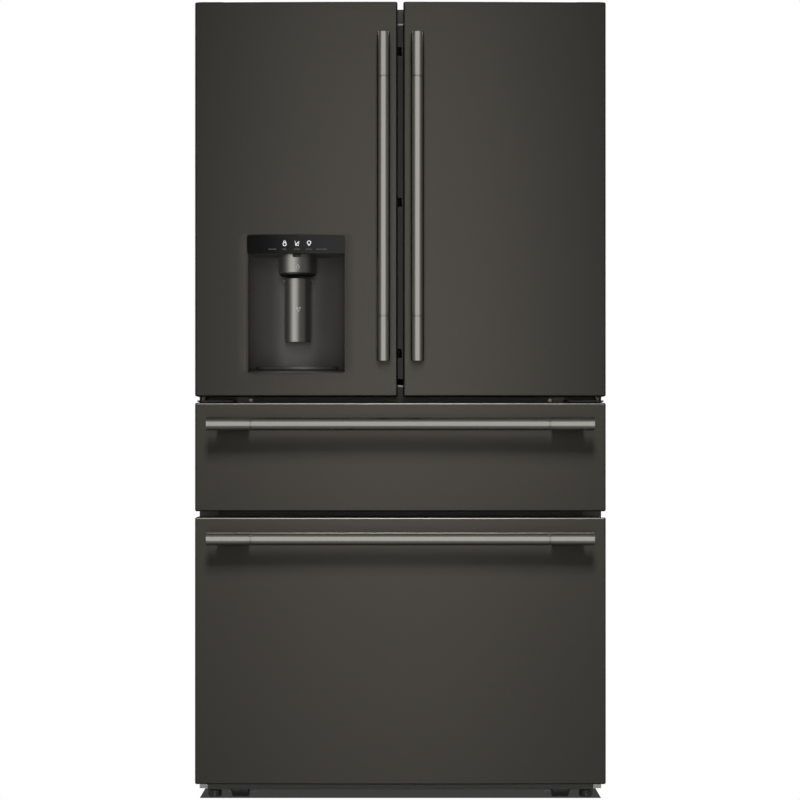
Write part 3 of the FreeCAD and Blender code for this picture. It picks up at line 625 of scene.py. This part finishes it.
# paddle: half-round push plate on its own pivot
PIVOT_Z = PADDLE_HIGH - 4
bm = bmesh.new()
drum_wall(bm, PADDLE_Y, PADDLE_R - 3, PADDLE_R, PADDLE_LOW, PADDLE_HIGH, start=-86, stop=86,
          steps=48)
drum_wall(bm, PADDLE_Y, PADDLE_R - 6, PADDLE_R - 2.6, PADDLE_HIGH - 8, PADDLE_HIGH, start=-84,
          stop=84, steps=40)
lathe(bm, "x", mm(SPOUT_X - 34.5, PADDLE_Y, PIVOT_Z),
      [mm(0, 0), mm(1.9, 0.2), mm(1.9, 68.8), mm(0, 69)], 20)
slab(bm, "xy", mm(SPOUT_X - 24, SPOUT_X + 24, PADDLE_Y - 6, PADDLE_Y + 1),
     mm(PADDLE_HIGH - 8, PADDLE_HIGH), 2 * MM, 0.8 * MM)
paddle = piece("dispenser_push_plate", bm, [M["chute"]], "paddle",
               ("dispenser_paddle",))

# three small ice cubes on the paddle
bm = bmesh.new()
CUBE = 2.1
for dx, dz in ((-2.7, 1.8), (2.9, 2.4), (0.2, -3.2)):
    x, z = SPOUT_X + 3.2 + dx, 1096.0 + dz
    stroke(bm, [(x - CUBE, z), (x, z + CUBE), (x + CUBE, z), (x, z - CUBE), (x - CUBE, z)], 0.9, 0)
wrapped(bm, PADDLE_Y, PADDLE_R)
piece("ice_mark", bm, [M["mark_soft"]], "paddle", weighted=False)

# drip tray with a bowed front edge and drain slots
TRAY_HALF, SLOT_Y = 91, -336
bm = bmesh.new()
turns = [math.radians(9 * step) for step in range(21)]
edge_line = [(SPOUT_X - TRAY_HALF * math.cos(a), -381 + 30 * (1 - math.sin(a))) for a in turns]
back_line = [(SPOUT_X + TRAY_HALF * math.cos(a), -330 + 44 * math.sin(a)) for a in turns]
outline = [mm(*p) for p in edge_line + back_line]
centre = Vector(mm(SPOUT_X, -335))
shrunk = [tuple(centre + (Vector(p) - centre) * 0.985) for p in outline]
inner = [tuple(centre + (Vector(p) - centre) * 0.90) for p in outline]
loft(bm, "xy", [(shrunk, 960.2 * MM), (outline, 961 * MM), (outline, 967 * MM),
                (shrunk, 967.9 * MM), (inner, 967.5 * MM), (inner, 965 * MM)])
for i in range(11):
    slat = SPOUT_X - 60 + 12 * i
    reach = 34 * math.sqrt(max(0.05, 1 - ((slat - SPOUT_X) / 80) ** 2))
    slab(bm, "xy", mm(slat - 3, slat + 3, SLOT_Y - reach, SLOT_Y + reach), mm(964.5, 967.6),
         2.6 * MM, 0.6 * MM)
piece("drip_tray_grid", bm, [M["tray"]], LEFT, ("drip_tray",))

# ---------------------------------------------------------------- door linings and seals
GUTTER = 2.6 * MM


def lining(bm, node, hole=None):
    """Moulded inner panel set just inside the folded steel edge, with an optional opening."""
    low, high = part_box(node)
    rect = (low.x + GUTTER, high.x - GUTTER, low.z + GUTTER, high.z - GUTTER)
    front = SKIN_BACK - 1 * MM
    if not hole:
        slab(bm, "xz", rect, (front, DOOR_BACK), 7 * MM, 1.4 * MM)
        return
    outer = [(inset_ring(rect, inset * MM, 7 * MM), depth) for inset, depth in
             ((0, front), (0, DOOR_BACK - 1.4 * MM), (0.4, DOOR_BACK - 0.4 * MM), (1.4, DOOR_BACK))]
    inner = [(inset_ring(hole, 0, 9 * MM), depth) for depth in (DOOR_BACK, front)]
    loft(bm, "xz", outer + inner + outer[:1], close=(False, False))


def cap(bm, rect, front, rear, radius, edge, wall):
    """Hollow moulded cover, open at the front."""
    inside = inset_ring(rect, wall, radius)
    sections = [(inside, rear - wall), (inside, front), (inset_ring(rect, 0, radius), front)]
    for i in range(7):
        turn = math.radians(15 * i)
        sections.append((inset_ring(rect, edge * (1 - math.cos(turn)), radius),
                         rear - edge * (1 - math.sin(turn))))
    loft(bm, "xz", sections)


def wall_frame(bm, rect, depth_from, depth_to, wall):
    """Raised wall moulded on the panel, thicker at its root."""
    hoop(bm, "xz", mm(*rect), 16 * MM,
         [mm(-2.2, depth_from), mm(-0.6, depth_from + 3), mm(0, depth_from + 8),
          mm(0, depth_to - 2), mm(0.7, depth_to - 0.5), mm(2, depth_to), mm(wall - 2, depth_to),
          mm(wall - 0.7, depth_to - 0.5), mm(wall, depth_to - 2), mm(wall + 1, depth_from + 8),
          mm(wall + 3, depth_from + 2), mm(wall + 6, depth_from)])


for side, name in ((-1, "left"), (1, "right")):
    bm = bmesh.new()
    hole = mm(-341, -118, 948, 1261) if side < 0 else None
    lining(bm, f"{name}_door_liner", hole)
    near, far = sorted((side * 45.0, side * 398.0))
    wall_frame(bm, (near, far, 938, 1735), DOOR_BACK / MM, -262, 4.2)
    if side < 0:
        cap(bm, mm(-345, -114, 944, 1267), DOOR_BACK - 1 * MM, -259 * MM, 14 * MM, 6 * MM, 2 * MM)
    else:
        for rail in (1126, 1335, 1548):
            for start, stop in ((49, 60), (383, 394)):
                slab(bm, "xz", mm(start, stop, rail - 34, rail - 14),
                     (DOOR_BACK - 1 * MM, -268 * MM), 4 * MM, 2 * MM)
    piece(f"{name}_door_lining", bm, [M["white"]], f"{name}_door",
          (f"{name}_door_liner",))

for name in ("middle", "freezer"):
    bm = bmesh.new()
    lining(bm, f"{name}_front_liner")
    low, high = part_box(f"{name}_gasket")
    slab(bm, "xz", (low.x + 30 * MM, high.x - 30 * MM, low.z + 22 * MM, high.z - 22 * MM),
         (DOOR_BACK - 1 * MM, DOOR_BACK + 9 * MM), 14 * MM, 5 * MM, steps=4)
    piece(f"{name}_drawer_lining", bm, [M["white"]], f"{name}_drawer",
          (f"{name}_front_liner",))

for node_name, owner in (("left_door_gasket", LEFT), ("right_door_gasket", "right_door"),
                         ("middle_gasket", "middle_drawer"), ("freezer_gasket", "freezer_drawer")):
    low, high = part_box(node_name)
    front, rear = low.y / MM, high.y / MM
    bm = bmesh.new()
    hoop(bm, "xz", (low.x, high.x, low.z, high.z), 5 * MM,
         [mm(3, front), mm(2, front + 2.4), mm(3.2, front + 4.2), mm(0.8, front + 5.6),
          mm(0, front + 7.4), mm(0.4, rear - 1), mm(1.6, rear), mm(14.4, rear), mm(15.6, rear - 1),
          mm(16, front + 7.4), mm(15.2, front + 5.6), mm(12.8, front + 4.2), mm(14, front + 2.4),
          mm(13, front)])
    piece(node_name.replace("gasket", "seal"), bm, [M["gasket"]], owner,
          (node_name,))

# ---------------------------------------------------------------- door bins and ice bin
def door_bin(bm, x, y, z):
    """Clear hanging bin with a label plate moulded behind."""
    tray(bm, mm(*x, *y), z[0] * MM, z[1] * MM, 3 * MM, 12 * MM, 3 * MM, 1 * MM)
    slab(bm, "xz", mm(x[0] + 14, x[1] - 14, z[1] - 34, z[1] - 17), mm(y[1] - 3.2, y[1] - 0.3),
         3 * MM, 0.8 * MM, 1)


bm = bmesh.new()
for z, start in (((1040, 1150), -257.5), ((1585, 1690), -314)):
    door_bin(bm, (-394, -49.5), (start, -225), z)
piece("left_door_trays", bm, [M["clear"], M["white"]], LEFT, ("left_door_bins",))
bm = bmesh.new()
for z in ((958, 1078), (1165, 1285), (1375, 1495)):
    door_bin(bm, (49.5, 394), (-314, -225), z)
for x0, x1 in ((48, 52), (391, 395)):
    slab(bm, "yz", mm(DOOR_BACK / MM, -221.3, 1590, 1728), mm(x0, x1), 10 * MM, 1 * MM, 1)
slab(bm, "xy", mm(49, 394, DOOR_BACK / MM, -233.5), mm(1590.2, 1594), 2 * MM, 1 * MM, 1)
piece("right_door_trays", bm, [M["clear"], M["white"]], "right_door",
      ("right_door_bins",))

# dairy flap on its own pin
low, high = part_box("dairy_lid")
bm = bmesh.new()
axis_y, axis_z = -227.0, 1712.0
slab(bm, "xz", (low.x + 7.2 * MM, high.x - 7.2 * MM, low.z, high.z), mm(axis_y - 2, axis_y + 1.6),
     8 * MM, 1 * MM)
slab(bm, "xz", mm(182, 261, low.z / MM + 3, low.z / MM + 10), mm(axis_y, axis_y + 7.5), 3 * MM,
     2 * MM)
lathe(bm, "x", (low.x, axis_y * MM, axis_z * MM),
      [(0, 0), (1.9 * MM, 0.2 * MM), (1.9 * MM, high.x - low.x - 0.2 * MM),
       (0, high.x - low.x)], 20)
piece("dairy_flap_cover", bm, [M["clear"]], "dairy_flap", ("dairy_lid",))

# ice compartment with its latch and vent
low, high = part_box("ice_compartment")
rect = (low.x, high.x, low.z, high.z)
bm = bmesh.new()
slab(bm, "xz", rect, (low.y, high.y - 9 * MM), 14 * MM, 2 * MM)
slab(bm, "xz", (low.x + 4 * MM, high.x - 4 * MM, low.z + 4 * MM, high.z - 4 * MM),
     (high.y - 8 * MM, high.y - 5 * MM), 12 * MM, 2.4 * MM)
slab(bm, "xz", (low.x + 1 * MM, high.x - 1 * MM, low.z + 1 * MM, high.z - 1 * MM),
     (high.y - 12 * MM, high.y - 6.5 * MM), 14 * MM, 2.4 * MM)
slab(bm, "xz", mm(-84, -58, 1392, 1458), (high.y - 7 * MM, high.y - 3.4 * MM), 5 * MM, 1.2 * MM)
slab(bm, "xz", mm(-79, -63, 1402, 1448), (high.y - 6 * MM, high.y), 4 * MM, 1.6 * MM, 1)
for z in range(1310, 1380, 10):
    slab(bm, "xz", mm(-300, -160, z, z + 3.4), (high.y - 6 * MM, high.y - 4.2 * MM), 1.6 * MM,
         0.6 * MM, 1)
piece("ice_bin_cabinet", bm, [M["white"], M["duct"]], LEFT, ("ice_compartment",))

# ---------------------------------------------------------------- shelves, crispers and duct
SHELF_FRONT, SHELF_BACK, SHELF_HALF = -215.0, 340.0, 405.0
bm = bmesh.new()
for z in (1480, 1285):
    for x0, x1 in ((-SHELF_HALF, -3), (3, SHELF_HALF)):
        slab(bm, "xy", mm(x0 + 4, x1 - 4, SHELF_FRONT + 5, SHELF_BACK - 4), mm(z + 0.4, z + 4.4),
             4 * MM, 0.5 * MM)
        slab(bm, "xz", mm(x0, x1, z - 12, z + 5), mm(SHELF_FRONT, SHELF_FRONT + 10), 3 * MM,
             2 * MM, 1)
        slab(bm, "xz", mm(x0, x1, z - 4, z + 5), mm(SHELF_BACK - 10, SHELF_BACK), 2 * MM,
             1.4 * MM, 1)
        for rim in (x0, x1 - 5):
            slab(bm, "yz", mm(SHELF_FRONT + 6, SHELF_BACK - 6, z - 3, z + 4.9), mm(rim, rim + 5),
                 1.6 * MM, 1 * MM, 1)
    for x0, x1 in ((-11, -4), (4, 11)):
        slab(bm, "yz", mm(SHELF_FRONT + 10, SHELF_BACK + 14, z - 20, z - 4), mm(x0, x1), 4 * MM,
             1 * MM, 1)
piece("glass_shelf_set", bm, [M["glass"], M["white"]], "cabinet",
      ("glass_shelves",))

low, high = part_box("crisper_cover")
bm = bmesh.new()
lid = 1105.0
slab(bm, "xy", mm(-SHELF_HALF + 5, SHELF_HALF - 5, SHELF_FRONT + 6, SHELF_BACK - 4),
     mm(lid + 0.4, lid + 4.4), 4 * MM, 0.5 * MM)
slab(bm, "xz", mm(-SHELF_HALF, SHELF_HALF, lid, lid + 14), mm(SHELF_FRONT, SHELF_FRONT + 10),
     4 * MM, 2.4 * MM, 1)
slab(bm, "xz", mm(-SHELF_HALF, SHELF_HALF, lid, lid + 6), mm(SHELF_BACK - 10, SHELF_BACK), 2 * MM,
     1.4 * MM, 1)
piece("crisper_glass_lid", bm, [M["glass"], M["white"]], "cabinet",
      ("crisper_cover",))

bm = bmesh.new()
for x0, x1 in ((-392, -5), (5, 392)):
    tray(bm, mm(x0, x1, -205, 320), 928 * MM, 1097 * MM, 3 * MM, 16 * MM, 4 * MM, 1.5 * MM)
    slab(bm, "xz", mm(x0 + 60, x1 - 60, 1066, 1090), mm(-219, -203), 6 * MM, 4 * MM, 1)
    slab(bm, "xz", mm(x0 + 10, x1 - 10, 1086, 1096), mm(-209, -203), 3 * MM, 1.6 * MM, 1)
piece("crisper_drawers", bm, [M["clear"], M["white"]], "cabinet", ("crispers",))

low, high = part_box("air_duct")
bm = bmesh.new()
slab(bm, "xz", (low.x, high.x, low.z, high.z), (low.y + 1.5 * MM, high.y), 12 * MM, 4 * MM, steps=4)
for first in (110, 300, 500):
    for rise in range(first, first + 60, 18):
        z = 1105 + rise
        hoop(bm, "xz", mm(-92, 92, z - 2, z + 10), 5 * MM,
             [mm(0, 357.5), mm(0.4, 355.6), mm(1.6, 355.2), mm(2.2, 356), mm(2.2, 357.5)])
        slab(bm, "xz", mm(-90, 90, z, z + 8), mm(355.9, 357.2), 4 * MM, 0.4 * MM, 1)
piece("air_tower", bm, [M["duct"], M["black"]], "cabinet", ("air_duct",))

# ---------------------------------------------------------------- drawer tubs and basket
for name, z, rear in (("middle", (680, 852), 180), ("freezer", (90, 402), 158)):
    bm = bmesh.new()
    tray(bm, mm(-386, 386, -305, rear), z[0] * MM, z[1] * MM, 3 * MM, 20 * MM, 5 * MM, 2 * MM)
    slab(bm, "xz", mm(-340, 340, z[0] + 20, z[1] - 30), mm(-315, -303), 10 * MM, 3 * MM, 1)
    if name == "freezer":
        for x in (-130, 130):
            slab(bm, "yz", mm(-300, rear - 8, z[0] + 6, z[1] - 90), mm(x - 2, x + 2), 10 * MM,
                 1 * MM)
    piece(f"{name}_drawer_bin", bm, [M["clear"], M["white"]], f"{name}_drawer",
          (f"{name}_tub",))

POST_PITCH = 50
bm = bmesh.new()
low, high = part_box("freezer_basket")
x0, x1, y0, y1, z0, z1 = (v / MM for v in (low.x, high.x, low.y, high.y, low.z, high.z))
tray(bm, mm(x0 + 1, x1 - 1, y0 + 1, y1 - 1), z0 * MM, (z0 + 42) * MM, 3 * MM, 18 * MM, 2 * MM,
     0.5 * MM)
hoop(bm, "xy", mm(x0, x1, y0, y1), 18 * MM,
     [mm(0.3, z1 - 24), mm(0, z1 - 22), mm(0, z1 - 2), mm(1.4, z1), mm(3, z1), mm(4.2, z1 - 2),
      mm(4.2, z1 - 22), mm(3.6, z1 - 24)], 1)
for post in range(-320, 380, POST_PITCH):
    for y in (y0 + 1, y1 - 4):
        slab(bm, "xz", mm(post - 0.5, post + 20.5, z0 + 34, z1 - 16), mm(y, y + 3), 3 * MM,
             0.8 * MM)
post = y0 + 34
while post < y1 - 40:
    for x in (x0 + 1, x1 - 4):
        slab(bm, "yz", mm(post, post + 20, z0 + 34, z1 - 16), mm(x, x + 3), 3 * MM, 0.8 * MM)
    post += POST_PITCH
piece("freezer_top_basket", bm, [M["clear"], M["white"]], "cabinet",
      ("freezer_basket",))

# ---------------------------------------------------------------- base, covers and back
low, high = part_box("toe_grille")
bm = bmesh.new()
slab(bm, "xz", mm(-431, 431, 22, 40.5), (low.y, low.y + 4 * MM), 3 * MM, 1.2 * MM)
for side in (-1, 1):
    for y, z in (((-318.5, -284), (37, 40.4)), ((-299, -284), (37, 45))):
        slab(bm, "xz", mm(side * 301 - 11, side * 301 + 11, *z), mm(*y), 1 * MM, 0.6 * MM)
piece("toe_kick", bm, [M["kick"]], "cabinet", ("toe_grille",))

for side, name in ((-1, "left"), (1, "right")):
    low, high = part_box(f"foot_{name}")
    bm = bmesh.new()
    centre_x, centre_y, top = side * 420, -281, high.z / MM
    ribs = 24
    rows = []
    for radius, z, wave in ((0.01, 0, 0), (14.2, 0, 0), (15.7, 1.2, 0.0), (15.9, 2.5, 0.7),
                            (15.9, 13.6, 0.7), (15.3, 15.2, 0.0), (13.5, 16, 0), (9, 16.3, 0)):
        rows.append([bm.verts.new(mm(
            centre_x + (radius - wave * (i % 2)) * math.cos(math.pi * i / ribs),
            centre_y + (radius - wave * (i % 2)) * math.sin(math.pi * i / ribs), z))
            for i in range(2 * ribs)])
    bridge(bm, rows)
    bm.faces.new(rows[0][::-1])
    bm.faces.new(rows[-1])
    nut = [(centre_x + 9 * math.cos(math.tau * i / 6), centre_y + 9 * math.sin(math.tau * i / 6))
           for i in range(6)]
    chamfered = [(centre_x + (x - centre_x) * 0.93, centre_y + (y - centre_y) * 0.93)
                 for x, y in nut]
    loft(bm, "xy", [([mm(*p) for p in shape], z * MM) for shape, z in
                    ((chamfered, 15), (nut, 15.8), (nut, 19.2), (chamfered, 20))])
    thread = []
    z = 18.0
    while z < top - 1.8:
        thread += [mm(4.4, z), mm(5, z + 0.8)]
        z += 1.6
    lathe(bm, "z", mm(centre_x, centre_y, 0),
          [mm(0, 17.5)] + thread + [mm(4.2, top), mm(0, top)], 24)
    piece(f"{name}_levelling_foot", bm, [M["black"]], f"{name}_foot",
          (f"foot_{name}",))

WHEEL_X, WHEEL_STEPS, AXLE = 360, 48, 4.2
for node_name, owner, y, radius, half in (("front_rollers", "front_roller_pair", -290, 20, 20),
                                          ("rear_rollers", "rear_roller_pair", 395, 25, 16)):
    bm = bmesh.new()
    for side in (-1, 1):
        outline = [(AXLE, 0), (radius - 5, 0), (radius - 3, 0.4), (radius - 0.8, 1.8), (radius, 3.4),
                   (radius, half - 3), (radius - 0.7, half - 2), (radius - 0.7, half + 2),
                   (radius, half + 3), (radius, 2 * half - 3.4), (radius - 0.8, 2 * half - 1.8),
                   (radius - 3, 2 * half - 0.4), (radius - 5, 2 * half), (AXLE, 2 * half)]
        profile = [mm(r, d) for r, d in outline]
        turns = [math.tau * i / WHEEL_STEPS for i in range(WHEEL_STEPS)]
        loops = [[bm.verts.new(((side * WHEEL_X - half) * MM + d,
                                y * MM + r * math.cos(a), radius * MM + r * math.sin(a)))
                  for a in turns] for r, d in profile]
        bridge(bm, loops + loops[:1])
    piece(node_name.replace("rollers", "wheel_pair"), bm, [M["black"]], owner,
          (node_name,))

# hinge caps: low nose over the door and a raised hood over the bracket
low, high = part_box("hinge_covers")
nose_back, base_z, hood = -300.0, 1774.0, (-328, -236)
bm = bmesh.new()
for side in (-1, 1):
    x0, x1 = sorted((side * 390.0, side * 454.0))
    slab(bm, "xy", mm(x0, x1, low.y / MM, nose_back), mm(base_z, base_z + 4), 8 * MM, 1.4 * MM)
    slab(bm, "xy", mm(x0, x1, *hood), mm(base_z, high.z / MM), 10 * MM, 4 * MM, steps=5)
piece("hinge_caps", bm, [M["black"]], "cabinet", ("hinge_covers",))

# centre hinges: folded plate with its pin, wall bracket and cap screw
plate_low, plate_high, back_y = 889.0, 893.0, -302.6
bm = bmesh.new()
for side in (-1, 1):
    x0, x1 = sorted((side * 365.0, side * 452.0))
    slab(bm, "xy", mm(x0, x1, -362, -302.5), mm(plate_low, plate_high), 12 * MM, 0.8 * MM)
    for near, far, front_y, slot in ((366.0, 452.0, -304.5, 0), (342.0, 368.0, -305.2, 1),
                                     (320.0, 343.0, -304.5, 0)):
        x0, x1 = sorted((side * near, side * far))
        slab(bm, "xz", mm(x0, x1, plate_low - 3, plate_high + 17), mm(front_y, back_y), 2 * MM,
             0.5 * MM, slot)
    lathe(bm, "z", mm(side * 436, -345, plate_low),
          [mm(0, 0), mm(5, 0), mm(5, 25), mm(4.2, 26), mm(0, 26)], 32, 1)
    lathe(bm, "y", mm(side * 336, -308, plate_low + 5.5),
          [mm(0, 1.4), mm(3.4, 1.4), mm(3.6, 0.2), mm(4.6, 0), mm(5.4, 0.7), mm(5.4, 4),
           mm(0, 4)], 32, 2)
# the plates and outer brackets (slot 0) take the near-black gap material: painted shade for the deep
# gap
piece("centre_hinge_brackets", bm, [M["rail"], M["dull"], M["bracket"]], "cabinet",
      ("centre_hinges",))

# ---------------------------------------------------------------- carried-over CAD nodes
PAINT = {
    "cabinet": ("cabinet_shell",), "rear": ("rear_panel", "machine_cover"),
    "white": ("fridge_liner", "middle_liner", "freezer_liner"),
    # cross rails take the near-black gap material: painted shade for the deep gaps
    "hinge": ("top_hinges", "base_frame"), "rail": ("cross_rails",), "black": ("condenser_fan",),
    "zinc": ("fixed_slides", "middle_slide_members", "freezer_slide_members",
             "middle_drawer_runners", "freezer_drawer_runners"),
    "bracket": ("corner_brackets",),
    "foam": ("cabinet_foam",), "enamel": ("compressor",), "fin": ("condenser",),
    "mullion": ("mullion", "mullion_hinges"),
}
for key, nodes in PAINT.items():
    for node_name in nodes:
        paint(node_name, M[key])


# ---------------------------------------------------------------- floor, light, camera
def stage_plane(name, rect, height, colour):
    """Emissive ground seen by the camera only, so it doesn't tint the reflections."""
    x0, x1, y0, y1 = rect
    mesh = bpy.data.meshes.new(name)
    mesh.from_pydata([(x0, y0, height), (x1, y0, height), (x1, y1, height), (x0, y1, height)], [],
                     [(0, 1, 2, 3)])
    obj = bpy.data.objects.new(name, mesh)
    bpy.context.scene.collection.objects.link(obj)
    mat = bpy.data.materials.new(name)
    mat.use_nodes = True
    tree = mat.node_tree
    tree.nodes.clear()
    out = tree.nodes.new("ShaderNodeOutputMaterial")
    glow = tree.nodes.new("ShaderNodeEmission")
    glow.inputs["Color"].default_value = (*colour, 1)
    clear = tree.nodes.new("ShaderNodeBsdfTransparent")
    path = tree.nodes.new("ShaderNodeLightPath")
    mixer = tree.nodes.new("ShaderNodeMixShader")
    tree.links.new(path.outputs["Is Camera Ray"], mixer.inputs["Fac"])
    tree.links.new(clear.outputs["BSDF"], mixer.inputs[1])
    tree.links.new(glow.outputs["Emission"], mixer.inputs[2])
    tree.links.new(mixer.outputs["Shader"], out.inputs["Surface"])
    mesh.materials.append(mat)
    obj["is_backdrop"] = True


REACH = 40.0
stage_plane("pale_floor", (-REACH, REACH, -REACH, REACH), -0.0006, (1, 1, 1))
# painted shadow: a dark plane seen by the camera only lies under the cabinet's footprint and stands
# for the contact shadow; the lights don't cast it
PAINTED_SHADOW = (0.049, 0.050, 0.048)
stage_plane("painted_contact_shadow", (-0.4515, 0.4515, -0.306, 0.452), -0.0003, PAINTED_SHADOW)

world = bpy.data.worlds.new("studio")
bpy.context.scene.world = world
world.use_nodes = True
tree = world.node_tree
background = tree.nodes["Background"]
toward = tree.nodes.new("ShaderNodeTexCoord")
facing = tree.nodes.new("ShaderNodeVectorMath")
facing.operation = "DOT_PRODUCT"
facing.inputs[1].default_value = (0, -1, 0)
tree.links.new(toward.outputs["Generated"], facing.inputs[0])
glow = tree.nodes.new("ShaderNodeValToRGB")
RING = ((0.0, 0.16), (0.40, 0.10), (0.56, 0.07), (0.68, 0.13), (0.76, 0.24), (0.86, 0.24),
        (0.93, 0.08), (1.0, 0.05))
while len(glow.color_ramp.elements) < len(RING):
    glow.color_ramp.elements.new(0.5)
for stop, (place, level) in zip(glow.color_ramp.elements, RING):
    stop.position = place
    stop.color = (level, level, level, 1)
half_range = tree.nodes.new("ShaderNodeMapRange")
half_range.inputs["From Min"].default_value = -1.0
tree.links.new(facing.outputs["Value"], half_range.inputs["Value"])
tree.links.new(half_range.outputs["Result"], glow.inputs["Fac"])
tree.links.new(glow.outputs["Color"], background.inputs["Color"])
seen = tree.nodes.new("ShaderNodeBackground")
seen.inputs["Color"].default_value = (1, 1, 1, 1)
light_path = tree.nodes.new("ShaderNodeLightPath")
mix = tree.nodes.new("ShaderNodeMixShader")
tree.links.new(light_path.outputs["Is Camera Ray"], mix.inputs["Fac"])
tree.links.new(background.outputs["Background"], mix.inputs[1])
tree.links.new(seen.outputs["Background"], mix.inputs[2])
tree.links.new(mix.outputs["Shader"], tree.nodes["World Output"].inputs["Surface"])


def softbox(name, place, aim, width, height, power):
    """Rectangular area light that faces a point."""
    data = bpy.data.lights.new(name, "AREA")
    data.shape = "RECTANGLE"
    data.size, data.size_y = width, height
    data.energy = power
    obj = bpy.data.objects.new(name, data)
    bpy.context.scene.collection.objects.link(obj)
    obj.location = place
    obj.rotation_mode = "QUATERNION"
    obj.rotation_quaternion = (Vector(aim) - Vector(place)).to_track_quat("-Z", "Y")
    return obj


def linked(light, objects, state="INCLUDE"):
    """Light only these objects, or everything but them."""
    group = bpy.data.collections.new(light.name + "_targets")
    for obj in objects:
        group.objects.link(obj)
    for entry in group.collection_objects:
        entry.light_linking.link_state = state
    light.light_linking.receiver_collection = group


METAL = [collar, paddle]
DRAWERS = [middle_front, freezer_front]
MIDDLE = (0, 0, 0.98)
FRONT_PLACE = (0.0, -6.5, 1.0)
softbox("left_box", (-4.2, 1.2, 2.0), (0, 0.2, 0.9), 1.6, 3.2, 110)
softbox("right_box", (4.2, 1.2, 2.0), (0, 0.2, 0.9), 1.6, 3.2, 110)
softbox("rear_box", (0.8, 5.5, 2.2), (0, 0.4, 0.9), 2.4, 2.8, 150)
linked(softbox("front_box", FRONT_PLACE, MIDDLE, 1.3, 6.0, 128), HANDLES + METAL + DRAWERS,
       "EXCLUDE")
linked(softbox("drawer_box", FRONT_PLACE, MIDDLE, 1.3, 6.0, 56), DRAWERS)
linked(softbox("top_box", (0, 0.3, 4.6), (0, 0.2, 1), 3.0, 2.4, 60), HANDLES, "EXCLUDE")
linked(softbox("handle_box", FRONT_PLACE, MIDDLE, 9.0, 9.0, 190), HANDLES)
for name, x in (("left_low_box", -4.6), ("right_low_box", 4.6)):
    linked(softbox(name, (x, -3.6, -1.7), (0, -0.36, 0.9), 3.2, 3.2, 22), HANDLES + METAL,
           "EXCLUDE")
# keys high in front, so each bar handle casts a soft shadow on its own drawer
linked(softbox("middle_key", (0, -4.8, 4.9), (0, -0.39, 0.78), 0.9, 1.6, 840), [middle_front])
linked(softbox("freezer_key", (0, -4.8, 4.6), (0, -0.39, 0.45), 0.9, 1.6, 960), [freezer_front])
linked(softbox("dispenser_accent", (-2.0, -4.1, 1.25), mm(SPOUT_X, -340, 1100), 3.8, 2.4, 66),
       METAL)

EYE_DISTANCE, EYE_HEIGHT = 4.0, 0.7826
camera_data = bpy.data.cameras.new("camera")
camera = bpy.data.objects.new("camera", camera_data)
bpy.context.scene.collection.objects.link(camera)
camera.location = (0, FRONT - EYE_DISTANCE, EYE_HEIGHT)
camera.rotation_euler = (math.radians(90), 0, 0)
camera_data.lens = 81.63
camera_data.sensor_width = 36
camera_data.shift_x, camera_data.shift_y = -0.0005, 0.0625
bpy.context.scene.camera = camera
bpy.context.scene.view_settings.view_transform = "Standard"

low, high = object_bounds()
